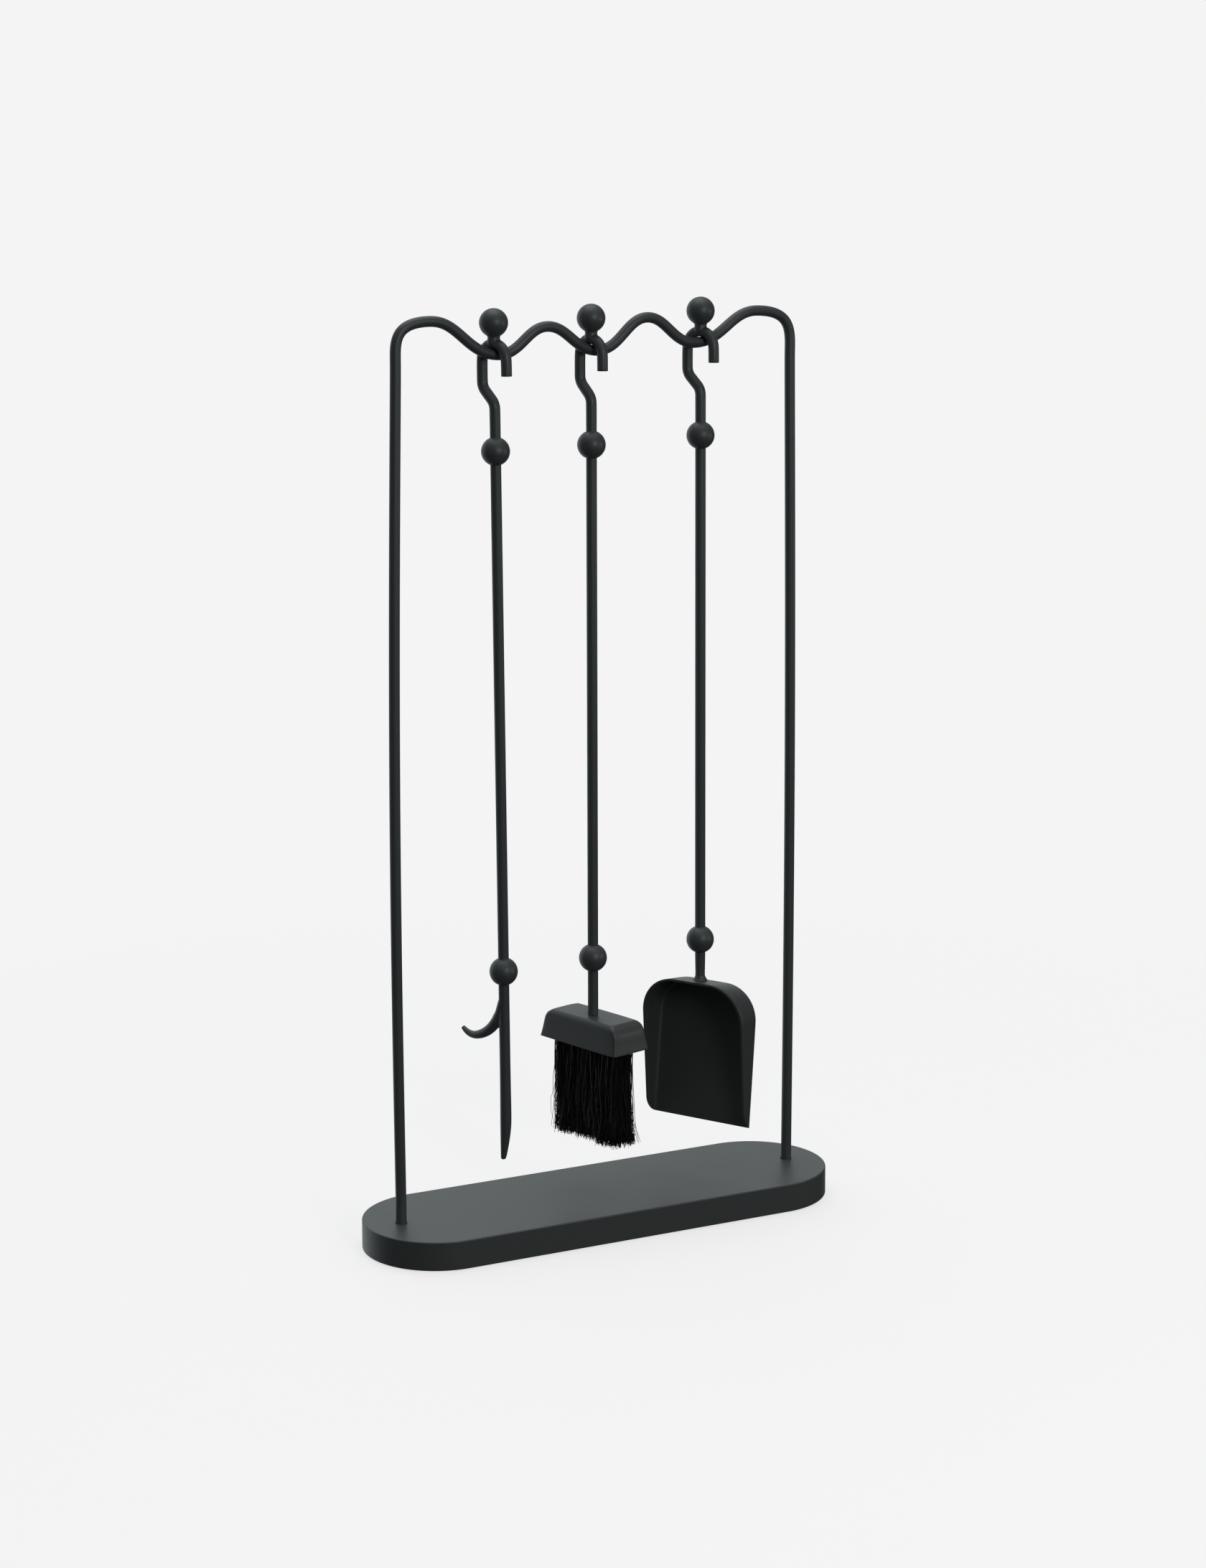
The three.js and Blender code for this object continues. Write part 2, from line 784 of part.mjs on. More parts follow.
// One side of the pan's sheet, from its back level to past its rim.
function panSide(inset) {
  const round = panBackRound - inset;
  const levels = [];
  const insets = [];
  const rows = 3;
  for (let i = 0; i <= rows; i++) {
    const angle = Math.PI / 2 * i / rows;
    levels.push(inset + round * (1 - Math.cos(angle)));
    insets.push(round * (1 - Math.sin(angle)));
  }
  levels.push(1.25 * panHeelDepth);
  insets.push(0);
  const side = new THREE.ExtrudeGeometry(panOutline(inset), {
    steps: levels.length - 1,
    depth: levels.length - 1,
    curveSegments: 8,
    bevelEnabled: false,
  });
  const place = side.attributes.position;
  const coreX = panWidth / 2 - panCornerRadius;
  const coreZ = panLength - panCornerRadius;
  for (let i = 0; i < place.count; i++) {
    const level = Math.round(place.getZ(i));
    const out = levels[level] * Math.tan(rad(panDraft)) - insets[level];
    const core = new THREE.Vector2(
      THREE.MathUtils.clamp(place.getX(i), -coreX, coreX),
      Math.min(place.getY(i), coreZ),
    );
    const away = new THREE.Vector2(place.getX(i), place.getY(i)).sub(core).normalize();
    place.setXYZ(i, place.getX(i) + out * away.x, place.getY(i) + out * away.y, levels[level]);
  }
  return side;
}

// What is cut away in front of the rim, which turns in to the back at the open end.
function panRimCutter() {
  const profile = new THREE.Shape();
  const past = 10;
  const far = 2 * panHeelDepth;
  const rise = (panHeelDepth - panMouthDepth) / (panLength - panToeLength);
  profile.moveTo(-past, panSheet);
  profile.lineTo(0, panSheet);
  profile.quadraticCurveTo(panToeFullness * panToeLength, panMouthDepth, panToeLength, panMouthDepth);
  profile.lineTo(panLength + past, panHeelDepth + past * rise);
  profile.lineTo(panLength + past, far);
  profile.lineTo(-past, far);
  const cutter = new THREE.ExtrudeGeometry(profile, {
    depth: 2 * panWidth,
    curveSegments: 6,
    bevelEnabled: false,
  });
  const turn = new THREE.Matrix4().makeBasis(
    new THREE.Vector3(0, 1, 0),
    new THREE.Vector3(0, 0, 1),
    new THREE.Vector3(1, 0, 0),
  );
  return cutter.translate(0, 0, -panWidth).applyMatrix4(turn);
}

// From the pan's own axes (across, up, forwards) to the tool's, with the pan tilted on its stem.
function panPlacement() {
  const axes = new THREE.Matrix4().makeBasis(
    new THREE.Vector3(0, -1, 0),
    new THREE.Vector3(0, 0, 1),
    new THREE.Vector3(-1, 0, 0),
  );
  const tilt = new THREE.Matrix4().makeRotationY(rad(panTilt));
  const turn = tilt.multiply(axes);
  const stemPoint = new THREE.Vector3(
    -panShift,
    panLength + stemBack * Math.tan(rad(panDraft)),
    stemBack,
  );
  const shift = stemPoint.applyMatrix4(turn).multiplyScalar(-1);
  shift.z -= shovelStemLength;
  return new THREE.Matrix4().makeTranslation(shift).multiply(turn);
}

function shovelPan() {
  const sheet = cut(panSide(0), panSide(panSheet), panRimCutter());
  const middle = -shovelStemLength;
  const hole = disc(tenonRadius + seatGap, middle - stemBack, middle + stemBack, rodSides);
  return cut(sheet.applyMatrix4(panPlacement()), hole);
}

function shovelStem() {
  const foot = -shovelStemLength;
  const rows = 4;
  const flare = [];
  for (let i = 0; i <= rows; i++) {
    const share = i / rows;
    const radius = THREE.MathUtils.lerp(stemWaistRadius, stemFootRadius, (1 - share) ** 2);
    flare.push([radius, foot + THREE.MathUtils.lerp(stemFootEdge, stemFootFlare, share)]);
  }
  const body = turned([
    [0, foot - tenonLength],
    [tenonRadius, foot - tenonLength],
    [tenonRadius, foot - panSheet],
    [stemFootRadius, foot - panSheet],
    ...flare,
    [rodRadius, -stemWaistShare * shovelStemLength],
    [rodRadius, -rodEndInBall],
    [0, -rodEndInBall],
  ], rodSides);
  // The foot is trimmed to stand on the sloping wall, all but the tenon.
  const slope = rad(panTilt + panDraft);
  const size = 6 * stemFootRadius;
  const wedge = new THREE.BoxGeometry(size, size, size).translate(0, 0, seatGap - size / 2);
  wedge.rotateY(slope).translate(0, 0, foot);
  const trim = cut(wedge, disc(tenonRadius, foot - size, foot + size, rodSides));
  return cut(body, trim);
}

function shovelHead() {
  return [
    named('shovel_stem', shovelStem(), coatedSteel),
    named('shovel_pan', shovelPan(), coatedSteel),
  ];
}

// ---------------------------------------------------------------- the set

const toolSet = new THREE.Group();
toolSet.name = 'fireplace_tool_set';
toolSet.add(stand());
toolSet.add(hungTool('poker', poker, pokerHead()));
toolSet.add(hungTool('brush', brush, brushHead()));
toolSet.add(hungTool('shovel', shovel, shovelHead()));

export default toolSet;
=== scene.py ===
import json
import math
from math import cos, pi, radians, sin, sqrt

import bmesh
import bpy
import numpy as np
from bpy.props import FloatProperty, FloatVectorProperty, IntProperty, PointerProperty
from mathutils import Matrix, Vector

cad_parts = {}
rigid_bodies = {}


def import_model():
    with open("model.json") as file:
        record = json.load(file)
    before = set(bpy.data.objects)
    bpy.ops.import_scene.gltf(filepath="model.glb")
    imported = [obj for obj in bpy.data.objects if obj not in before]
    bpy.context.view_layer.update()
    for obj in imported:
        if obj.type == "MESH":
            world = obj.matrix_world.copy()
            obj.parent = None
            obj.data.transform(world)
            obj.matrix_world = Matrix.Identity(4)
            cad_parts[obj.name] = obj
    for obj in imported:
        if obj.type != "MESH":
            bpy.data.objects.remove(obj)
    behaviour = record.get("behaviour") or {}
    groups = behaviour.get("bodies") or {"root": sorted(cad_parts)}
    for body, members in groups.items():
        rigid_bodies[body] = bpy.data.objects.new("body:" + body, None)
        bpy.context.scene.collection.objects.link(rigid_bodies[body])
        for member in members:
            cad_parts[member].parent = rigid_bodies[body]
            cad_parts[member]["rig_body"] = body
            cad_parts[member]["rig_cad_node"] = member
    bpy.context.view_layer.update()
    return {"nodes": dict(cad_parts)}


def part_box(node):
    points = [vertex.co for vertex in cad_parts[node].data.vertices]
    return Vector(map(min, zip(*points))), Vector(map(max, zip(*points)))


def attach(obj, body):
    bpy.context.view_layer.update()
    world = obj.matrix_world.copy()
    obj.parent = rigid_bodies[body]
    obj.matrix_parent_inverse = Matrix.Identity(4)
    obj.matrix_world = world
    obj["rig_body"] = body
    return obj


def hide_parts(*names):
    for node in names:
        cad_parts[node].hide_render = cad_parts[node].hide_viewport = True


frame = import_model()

bl_info = {
    "name": "Fireplace tool set",
    "version": (1, 0, 0),
    "blender": (4, 5, 0),
    "location": "3D View > Sidebar > Hearth",
    "description": "Poker, brush and shovel on a bent-rod rack with a round-ended floor plate",
    "category": "Object",
}

MM = 0.001
TOOLS = ("poker", "brush", "shovel")
MERGE_DISTANCE = 0.01 * MM
SHARP_EDGE = radians(36)  # edges that stay crisp when facets are rounded away
FLATNESS = radians(40)  # most bend between two triangles that merge into one quad
SQUARENESS = radians(60)  # most that such a quad's corners are out of square
SEAT_GAP = 0.3 * MM  # round a piece that sits in another
END_GAP = 0.2 * MM  # left at each end of a shaft
FINIAL_RISE = 17.7 * MM  # of a finial ball's centre above its arch's top centre
SOCKET_DEPTH = 6 * MM  # of a rod's end in a ball
SIDES = ("left", "right")
PADS = ("front_left", "front_right", "back_left", "back_right")
WHITE = (1.0, 1.0, 1.0, 1.0)
FLOOR_NAME = "studio_floor"


# ---------------------------------------------------------------- sizes and colours


def length(label, note, millimetres):
    return FloatProperty(name=label, description=note, default=millimetres * MM, unit="LENGTH")


def turn(label, note, degrees):
    return FloatProperty(name=label, description=note, default=radians(degrees), subtype="ANGLE")


def share(label, note, value):
    return FloatProperty(name=label, description=note, default=value, min=0, max=1, subtype="FACTOR")


def colour(label, note, value):
    return FloatVectorProperty(name=label, description=note, default=value, min=0, max=1, subtype="COLOR")


class HearthSizes(bpy.types.PropertyGroup):
    """Sizes that the frame leaves to the finished surface"""

    plate_round: length("Plate edge", "Rounding of the floor plate's edges", 1.2)
    rod_radius: length("Rod radius", "Radius of the rod that everything is bent from", 4.75)
    ball_radius: length("Ball radius", "Radius of the welded balls", 12.6)
    bead_radius: length("Weld bead", "Fillet where a rod enters a ball", 0.4)
    neck_radius: length("Finial neck", "Radius of the neck under each finial ball", 6.1)
    neck_fillet: length("Neck fillet", "Fillet between a finial's neck and its ball", 2.2)
    tip_round: length("Tip rounding", "Rounding of the cut rod end on each hook", 0.9)
    poker_turn: turn("Poker turn", "How far the poker is turned on the rack", 21.5)
    brush_turn: turn("Brush turn", "How far the brush is turned on the rack", 16.5)
    shovel_turn: turn("Shovel turn", "How far the shovel is turned on the rack", 25.0)
    cap_turn: turn("Cap turn", "How far the brush's cap is turned", 15.8)
    bristle_count: IntProperty(name="Bristles", description="Number of single bristles", default=3700)
    bristle_radius: length("Bristle radius", "Radius of one bristle at its root", 0.42)


class HearthColours(bpy.types.PropertyGroup):
    """Colours of the finishes"""

    rod_coat: colour("Rod coat", "Powder coat on the rods and balls", (0.0040, 0.0047, 0.0051))
    plate_coat: colour("Plate coat", "Powder coat on the floor plate", (0.0070, 0.0080, 0.0086))
    sheet_coat: colour("Sheet coat", "Powder coat on the cap and the pan", (0.0026, 0.0031, 0.0034))
    bristle_dark: colour("Bristle, dark", "Most of the bristles", (0.006, 0.0055, 0.005))
    # Also what each bristle's end pales towards, a painted glint of backlight.
    bristle_light: colour("Bristle, light", "The few sun-bleached bristles", (0.10, 0.092, 0.08))
    beech: colour("Beech", "The wooden block inside the brush's cap", (0.40, 0.25, 0.12))
    floor: colour("Floor", "The studio's pale floor", (0.96, 0.935, 0.93))


class HearthStudio(bpy.types.PropertyGroup):
    """Camera and lights"""

    azimuth: turn("Azimuth", "Direction that the camera looks in, about the vertical", -26.6707)
    drop: turn("Drop", "How far the camera looks down", 7.5816)
    roll: turn("Roll", "Turn of the camera about its own view", -0.1383)
    place: FloatVectorProperty(
        name="Place", description="Where the camera stands", subtype="XYZ", unit="LENGTH",
        default=(-1.16538, -2.32956, 0.91677),
    )
    focal_length: FloatProperty(name="Lens", description="Focal length in millimetres", default=68.28)
    lens_shift: FloatProperty(name="Shift", description="Vertical lens shift", default=-0.12)
    backdrop: FloatProperty(name="Backdrop", description="Brightness behind the object", default=0.905)
    overhead: FloatProperty(name="Overhead", description="Brightness of the air above", default=0.36)
    behind: FloatProperty(name="Behind", description="Brightness of the air behind", default=0.86)
    around: FloatProperty(name="Around", description="Brightness of the air elsewhere", default=0.03)
    shadow_lift: share("Shadow lift", "How far the floor's own glow fills the shadows", 0.5)
    glow: FloatProperty(name="Glow", description="Strength of the floor's own glow", default=1.37)
    key: FloatProperty(name="Key", description="Power of the main soft light", default=12, subtype="POWER")
    fill: FloatProperty(
        name="Fill", description="Power of the light from the right", default=4, subtype="POWER",
    )
    top: FloatProperty(name="Top", description="Power of the overhead light", default=14, subtype="POWER")


def sizes():
    return bpy.context.scene.hearth_sizes


def colours():
    return bpy.context.scene.hearth_colours


def studio():
    return bpy.context.scene.hearth_studio


# ---------------------------------------------------------------- bench work


def clear_selection():
    if bpy.context.mode != "OBJECT":
        bpy.ops.object.mode_set(mode="OBJECT")
    bpy.ops.object.select_all(action="DESELECT")


def only(piece):
    clear_selection()
    piece.select_set(True)
    bpy.context.view_layer.objects.active = piece


def open_edit(piece, kind="VERT"):
    only(piece)
    bpy.ops.object.mode_set(mode="EDIT")
    bpy.ops.mesh.select_mode(type=kind)
    bpy.ops.mesh.select_all(action="SELECT")


def close_edit():
    bpy.ops.object.mode_set(mode="OBJECT")


def named(name):
    piece = bpy.context.active_object
    piece.name = piece.data.name = name
    return piece


def pick(piece, kind, wanted):
    """Selects the vertices, edges or faces for which wanted(element) holds."""
    bpy.ops.mesh.select_mode(type=kind)
    bpy.ops.mesh.select_all(action="DESELECT")
    mesh = bmesh.from_edit_mesh(piece.data)
    for element in {"VERT": mesh.verts, "EDGE": mesh.edges, "FACE": mesh.faces}[kind]:
        if wanted(element):
            element.select_set(True)
    mesh.select_flush_mode()
    bmesh.update_edit_mesh(piece.data)


def modified(piece, kind, **settings):
    """Adds a modifier and applies it."""
    only(piece)
    modifier = piece.modifiers.new(kind.title(), kind)
    for name, value in settings.items():
        setattr(modifier, name, value)
    bpy.ops.object.modifier_apply(modifier=modifier.name)
    return piece


def subdivided(piece, levels):
    return modified(piece, "SUBSURF", levels=levels, render_levels=levels)


def edge_rounded(piece, width, segments=2, angle=radians(50)):
    return modified(
        piece, "BEVEL", width=width, segments=segments, limit_method="ANGLE", angle_limit=angle,
    )


def cut_by(piece, cutter):
    modified(piece, "BOOLEAN", operation="DIFFERENCE", solver="EXACT", object=cutter)
    bpy.data.objects.remove(cutter)


def joined(first, *others):
    only(first)
    for other in others:
        other.select_set(True)
    bpy.ops.object.join()
    return first


def placed(piece, matrix):
    """Puts a piece where it belongs and leaves its place in its mesh."""
    only(piece)
    piece.matrix_world = matrix
    bpy.ops.object.transform_apply(location=True, rotation=True, scale=True)
    return piece


def finished(piece, body, slot, material, *nodes, angle=radians(32)):
    only(piece)
    bpy.ops.object.shade_smooth_by_angle(angle=angle)
    piece.data.materials.clear()
    piece.data.materials.append(material)
    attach(piece, body)
    if nodes:
        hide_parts(*nodes)
    return piece


def copy_of(node, name):
    """A copy of a frame node with a mesh of its own, its triangles merged into one skin."""
    only(frame["nodes"][node])
    bpy.ops.object.duplicate(linked=False)
    piece = named(name)
    piece.parent = None
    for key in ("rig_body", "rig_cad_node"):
        del piece[key]
    open_edit(piece)
    bpy.ops.mesh.remove_doubles(threshold=MERGE_DISTANCE)
    bpy.ops.mesh.tris_convert_to_quads(face_threshold=FLATNESS, shape_threshold=SQUARENESS)
    close_edit()
    return piece


def smoothed(node, name, levels, swell=0.0):
    """A copy of a frame node with its facets rounded away and its true edges kept."""
    piece = copy_of(node, name)
    open_edit(piece, "EDGE")
    if swell:
        bpy.ops.transform.shrink_fatten(value=swell)
    bpy.ops.mesh.select_all(action="DESELECT")
    bpy.ops.mesh.edges_select_sharp(sharpness=SHARP_EDGE)
    bpy.ops.transform.edge_crease(value=1.0)
    close_edit()
    return subdivided(piece, levels)


def turned(name, profile, steps=48):
    """A closed piece turned on the Z axis from (radius, height) points."""
    clear_selection()
    bpy.ops.mesh.primitive_plane_add(size=MM)
    piece = named(name)
    open_edit(piece)
    bpy.ops.mesh.merge(type="CENTER")
    (radius, height), *rest = profile
    bpy.ops.transform.translate(value=(radius, 0, height))
    for point in rest:
        step = (point[0] - radius, 0, point[1] - height)
        bpy.ops.mesh.extrude_region_move(TRANSFORM_OT_translate={"value": step})
        radius, height = point
    bpy.ops.mesh.select_all(action="SELECT")
    bpy.ops.mesh.spin(steps=steps, angle=2 * pi, center=(0, 0, 0), axis=(0, 0, 1))
    bpy.ops.mesh.select_all(action="SELECT")
    bpy.ops.mesh.remove_doubles(threshold=MERGE_DISTANCE)
    bpy.ops.mesh.normals_make_consistent(inside=False)
    close_edit()
    return piece


def arc(centre, radius, start, end, steps):
    """Points of an arc in the (radius, height) plane. Angles are measured from straight up."""
    points = []
    for i in range(steps + 1):
        angle = start + (end - start) * i / steps
        points.append((centre[0] + radius * sin(angle), centre[1] + radius * cos(angle)))
    return points


def rod_swell():
    """What a twelve-sided rod loses on its radius when it is rounded by subdivision."""
    rounded = 2 / 3 + cos(2 * pi / 12) / 3
    return sizes().rod_radius * (1 / rounded - 1)


# ---------------------------------------------------------------- finishes


def new_group(name, inputs, outputs):
    group = bpy.data.node_groups.new(name, "ShaderNodeTree")
    for label, kind, value in inputs:
        group.interface.new_socket(label, in_out="INPUT", socket_type=kind).default_value = value
    for label, kind in outputs:
        group.interface.new_socket(label, in_out="OUTPUT", socket_type=kind)
    return group, group.nodes.new("NodeGroupInput"), group.nodes.new("NodeGroupOutput")


def node(tree, kind, links=(), **settings):
    """Adds a node. Links are (input, output socket or value)."""
    made = tree.nodes.new(kind)
    for name, value in settings.items():
        setattr(made, name, value)
    for name, value in links:
        if isinstance(value, bpy.types.NodeSocket):
            tree.links.new(value, made.inputs[name])
        else:
            made.inputs[name].default_value = value
    return made


def noise(tree, vector, scale, detail=2.0, roughness=0.5):
    return node(tree, "ShaderNodeTexNoise", [
        ("Vector", vector), ("Scale", scale), ("Detail", detail), ("Roughness", roughness),
    ]).outputs["Fac"]


def graded(tree, value, low, high, to_low=0.0, to_high=1.0):
    return node(tree, "ShaderNodeMapRange", [
        ("Value", value), ("From Min", low), ("From Max", high), ("To Min", to_low), ("To Max", to_high),
    ]).outputs["Result"]


def blended(tree, portion, first, second, kind="MIX"):
    mix = node(tree, "ShaderNodeMix", data_type="RGBA", blend_type=kind)
    for socket, value in ((mix.inputs[0], portion), (mix.inputs[6], first), (mix.inputs[7], second)):
        if isinstance(value, bpy.types.NodeSocket):
            tree.links.new(value, socket)
        else:
            socket.default_value = value
    return mix.outputs[2]


def maths(tree, first, second, operation="MULTIPLY"):
    """One sum on two values: a product, unless another operation is named."""
    return node(tree, "ShaderNodeMath", [(0, first), (1, second)], operation=operation).outputs[0]


def grain_group():
    """Powder coat's skin: fine pebbles, a slow unevenness and pale specks of dust."""
    ripples, clouds, motes = 260.0, 38.0, 520.0  # features per metre
    mote_core, mote_rim = 0.10, 0.22  # as parts of a mote's cell
    group, given, out = new_group(
        "Coat grain",
        [("Pebble Scale", "NodeSocketFloat", 1400.0), ("Dust", "NodeSocketFloat", 0.02)],
        [("Height", "NodeSocketFloat"), ("Cloud", "NodeSocketFloat"), ("Specks", "NodeSocketFloat")],
    )
    place = node(group, "ShaderNodeTexCoord").outputs["Object"]
    fine = noise(group, place, given.outputs["Pebble Scale"], 3.0, 0.55)
    broad = noise(group, place, ripples, 2.0)
    cloud = noise(group, place, clouds, 4.0, 0.6)
    cells = node(group, "ShaderNodeTexVoronoi", [("Vector", place), ("Scale", motes)])
    close = graded(group, cells.outputs["Distance"], mote_core, mote_rim, 1.0, 0.0)
    lucky = node(group, "ShaderNodeSeparateColor", [("Color", cells.outputs["Color"])]).outputs["Red"]
    chosen = maths(group, lucky, maths(group, 1.0, given.outputs["Dust"], "SUBTRACT"), "GREATER_THAN")
    height = maths(group, maths(group, fine, 0.65), maths(group, broad, 0.35), "ADD")
    group.links.new(height, out.inputs["Height"])
    group.links.new(cloud, out.inputs["Cloud"])
    group.links.new(maths(group, close, chosen), out.inputs["Specks"])
    return group


def edge_wear_and_highlight_group():
    """Edges that are handled or knocked come up a little paler and smoother: the paleness is partly real
    wear of the coat and partly a painted highlight along the edges.
    """
    group, given, out = new_group(
        "Edge rub",
        [("Amount", "NodeSocketFloat", 0.5), ("Start", "NodeSocketFloat", 0.56)],
        [("Rub", "NodeSocketFloat")],
    )
    patch_scale, full_rub = 60.0, 0.1
    edges = node(group, "ShaderNodeNewGeometry").outputs["Pointiness"]
    place = node(group, "ShaderNodeTexCoord").outputs["Object"]
    patches = graded(group, noise(group, place, patch_scale, 5.0, 0.7), 0.38, 0.62)
    past = maths(group, edges, given.outputs["Start"], "SUBTRACT")
    raised = graded(group, past, 0.0, full_rub)
    rub = maths(group, maths(group, raised, patches), given.outputs["Amount"])
    group.links.new(rub, out.inputs["Rub"])
    return group


def new_material(name):
    material = bpy.data.materials.new(name)
    material.use_nodes = True
    return material, material.node_tree, material.node_tree.nodes["Principled BSDF"]


def shared(name, build):
    return bpy.data.node_groups.get(name) or build()


def times(tint, factor):
    """A colour made brighter or darker, with an alpha of one."""
    return (*(min(1.0, factor * value) for value in tint), 1.0)


def powder_coat(name, tint, roughness, pebble, depth, rub, rub_start, dust):
    """A dark coat. Its pebbles are counted per metre, and depth is how deep they are."""
    made = bpy.data.materials.get(name)
    if made:
        return made
    material, tree, shader = new_material(name)
    grain = node(tree, "ShaderNodeGroup", node_tree=shared("Coat grain", grain_group))
    grain.inputs["Pebble Scale"].default_value = pebble
    grain.inputs["Dust"].default_value = dust
    wear_and_highlight_node = node(tree, "ShaderNodeGroup", node_tree=shared("Edge rub", edge_wear_and_highlight_group))
    wear_and_highlight_node.inputs["Amount"].default_value = rub
    wear_and_highlight_node.inputs["Start"].default_value = rub_start
    base = (*tint, 1.0)
    pale = times(tint, 1.5)
    # Edge tint: partly the coat's real wear, partly a painted highlight along the edges.
    wear_highlight_tint = times(tint, 12.0)
    mote = (0.16, 0.16, 0.15, 1.0)
    glossier, duller, polish = 0.04, 0.05, 0.12
    clouded = blended(tree, grain.outputs["Cloud"], base, pale)
    # Paler edges by the wear mask: partly real wear, partly a painted highlight.
    wear_and_highlight_colour = blended(tree, wear_and_highlight_node.outputs["Rub"], clouded, wear_highlight_tint)
    specked = blended(tree, grain.outputs["Specks"], wear_and_highlight_colour, mote)
    tree.links.new(specked, shader.inputs["Base Color"])
    smooth, rough = roughness - glossier, roughness + duller
    uneven = graded(tree, grain.outputs["Cloud"], 0.3, 0.7, smooth, rough)
    smoother = maths(tree, uneven, maths(tree, wear_and_highlight_node.outputs["Rub"], polish), "SUBTRACT")
    tree.links.new(smoother, shader.inputs["Roughness"])
    bump = node(tree, "ShaderNodeBump", [("Height", grain.outputs["Height"])])
    bump.inputs["Strength"].default_value = 1.0
    bump.inputs["Distance"].default_value = depth
    tree.links.new(bump.outputs["Normal"], shader.inputs["Normal"])
    shader.inputs["Specular IOR Level"].default_value = 0.36
    shader.inputs["Specular Tint"].default_value = (0.89, 0.97, 1.0, 1.0)
    return material


def rod_coat():
    return powder_coat(
        "rod_coat", colours().rod_coat, roughness=0.38, pebble=1500.0, depth=0.045 * MM,
        rub=0.5, rub_start=0.60, dust=0.006,
    )


def plate_coat():
    # The strong edge wear here also paints the thin highlight along the plate's top edge.
    return powder_coat(
        "plate_coat", colours().plate_coat, roughness=0.56, pebble=1300.0, depth=0.05 * MM,
        rub=1.0, rub_start=0.51, dust=0.010,
    )


def sheet_coat():
    return powder_coat(
        "sheet_coat", colours().sheet_coat, roughness=0.47, pebble=1400.0, depth=0.04 * MM,
        rub=0.6, rub_start=0.54, dust=0.012,
    )


def zinc_steel():
    material, tree, shader = new_material("zinc_steel")
    place = node(tree, "ShaderNodeTexCoord").outputs["Object"]
    flakes = node(tree, "ShaderNodeTexVoronoi", [("Vector", place), ("Scale", 900.0)])
    tone = graded(tree, flakes.outputs["Distance"], 0.0, 0.8)
    bright, dull = (0.62, 0.62, 0.60, 1), (0.42, 0.43, 0.43, 1)
    shade = blended(tree, tone, bright, dull)
    tree.links.new(shade, shader.inputs["Base Color"])
    tree.links.new(graded(tree, tone, 0.0, 1.0, 0.28, 0.42), shader.inputs["Roughness"])
    shader.inputs["Metallic"].default_value = 1.0
    return material


def plain_brass():
    material, tree, shader = new_material("plain_brass")
    place = node(tree, "ShaderNodeTexCoord").outputs["Object"]
    stain = noise(tree, place, 300.0, 4.0)
    bright, brown = (0.62, 0.42, 0.17, 1), (0.42, 0.27, 0.10, 1)
    shade = blended(tree, stain, bright, brown)
    tree.links.new(shade, shader.inputs["Base Color"])
    tree.links.new(graded(tree, stain, 0.3, 0.7, 0.25, 0.42), shader.inputs["Roughness"])
    shader.inputs["Metallic"].default_value = 1.0
    return material


def pad_rubber():
    material, tree, shader = new_material("pad_rubber")
    place = node(tree, "ShaderNodeTexCoord").outputs["Object"]
    bloom = noise(tree, place, 180.0, 5.0, 0.65)
    black, grey = (0.010, 0.010, 0.010, 1), (0.035, 0.034, 0.032, 1)
    shade = blended(tree, bloom, black, grey)
    tree.links.new(shade, shader.inputs["Base Color"])
    tree.links.new(graded(tree, bloom, 0.3, 0.7, 0.75, 0.9), shader.inputs["Roughness"])
    pores = noise(tree, place, 2500.0)
    bump = node(tree, "ShaderNodeBump", [("Height", pores), ("Distance", 0.03 * MM)])
    tree.links.new(bump.outputs["Normal"], shader.inputs["Normal"])
    return material


def beech():
    """Beech with its grain along the block."""
    material, tree, shader = new_material("beech")
    place = node(tree, "ShaderNodeTexCoord").outputs["Object"]
    along = node(tree, "ShaderNodeMapping", [("Vector", place)])
    along.inputs["Rotation"].default_value = (0, 0, -sizes().cap_turn)
    stretch, ring_scale, fleck_scale = 0.06, 420.0, 2400.0
    along.inputs["Scale"].default_value = (1.0, stretch, 1.0)
    rings = noise(tree, along.outputs["Vector"], ring_scale, 5.0, 0.6)
    flecks = noise(tree, along.outputs["Vector"], fleck_scale, 2.0)
    tint = colours().beech
    dark = times(tint, 0.6)
    shade = blended(tree, graded(tree, rings, 0.35, 0.65), (*tint, 1.0), dark)
    shade = blended(tree, graded(tree, flecks, 0.55, 0.75, 0.0, 0.4), shade, dark)
    tree.links.new(shade, shader.inputs["Base Color"])
    tree.links.new(graded(tree, rings, 0.3, 0.7, 0.5, 0.7), shader.inputs["Roughness"])
    bump = node(tree, "ShaderNodeBump", [("Height", rings), ("Distance", 0.08 * MM)])
    tree.links.new(bump.outputs["Normal"], shader.inputs["Normal"])
    return material


def bristle_fibre():
    """Each bristle has its own tone, stored on its points, and pales towards its tip in a painted glint of
    backlight through the ends.
    """
    material, tree, shader = new_material("bristle_fibre")
    tone = node(tree, "ShaderNodeAttribute", attribute_name="tone").outputs["Fac"]
    place = node(tree, "ShaderNodeTexCoord").outputs["Object"]
    dark = (*colours().bristle_dark, 1.0)
    light = (*colours().bristle_light, 1.0)
    uneven = graded(tree, noise(tree, place, 400.0, 3.0), 0.3, 0.7, 0.7, 1.15)
    shade = blended(tree, maths(tree, tone, uneven), dark, light)
    tree.links.new(shade, shader.inputs["Base Color"])
    tree.links.new(graded(tree, tone, 0.0, 1.0, 0.38, 0.55), shader.inputs["Roughness"])
    return material


# ---------------------------------------------------------------- where the tools hang


def centre_of(node_name):
    low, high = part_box(node_name)
    return (low + high) / 2


def tool_turn(tool):
    return getattr(sizes(), f"{tool}_turn")


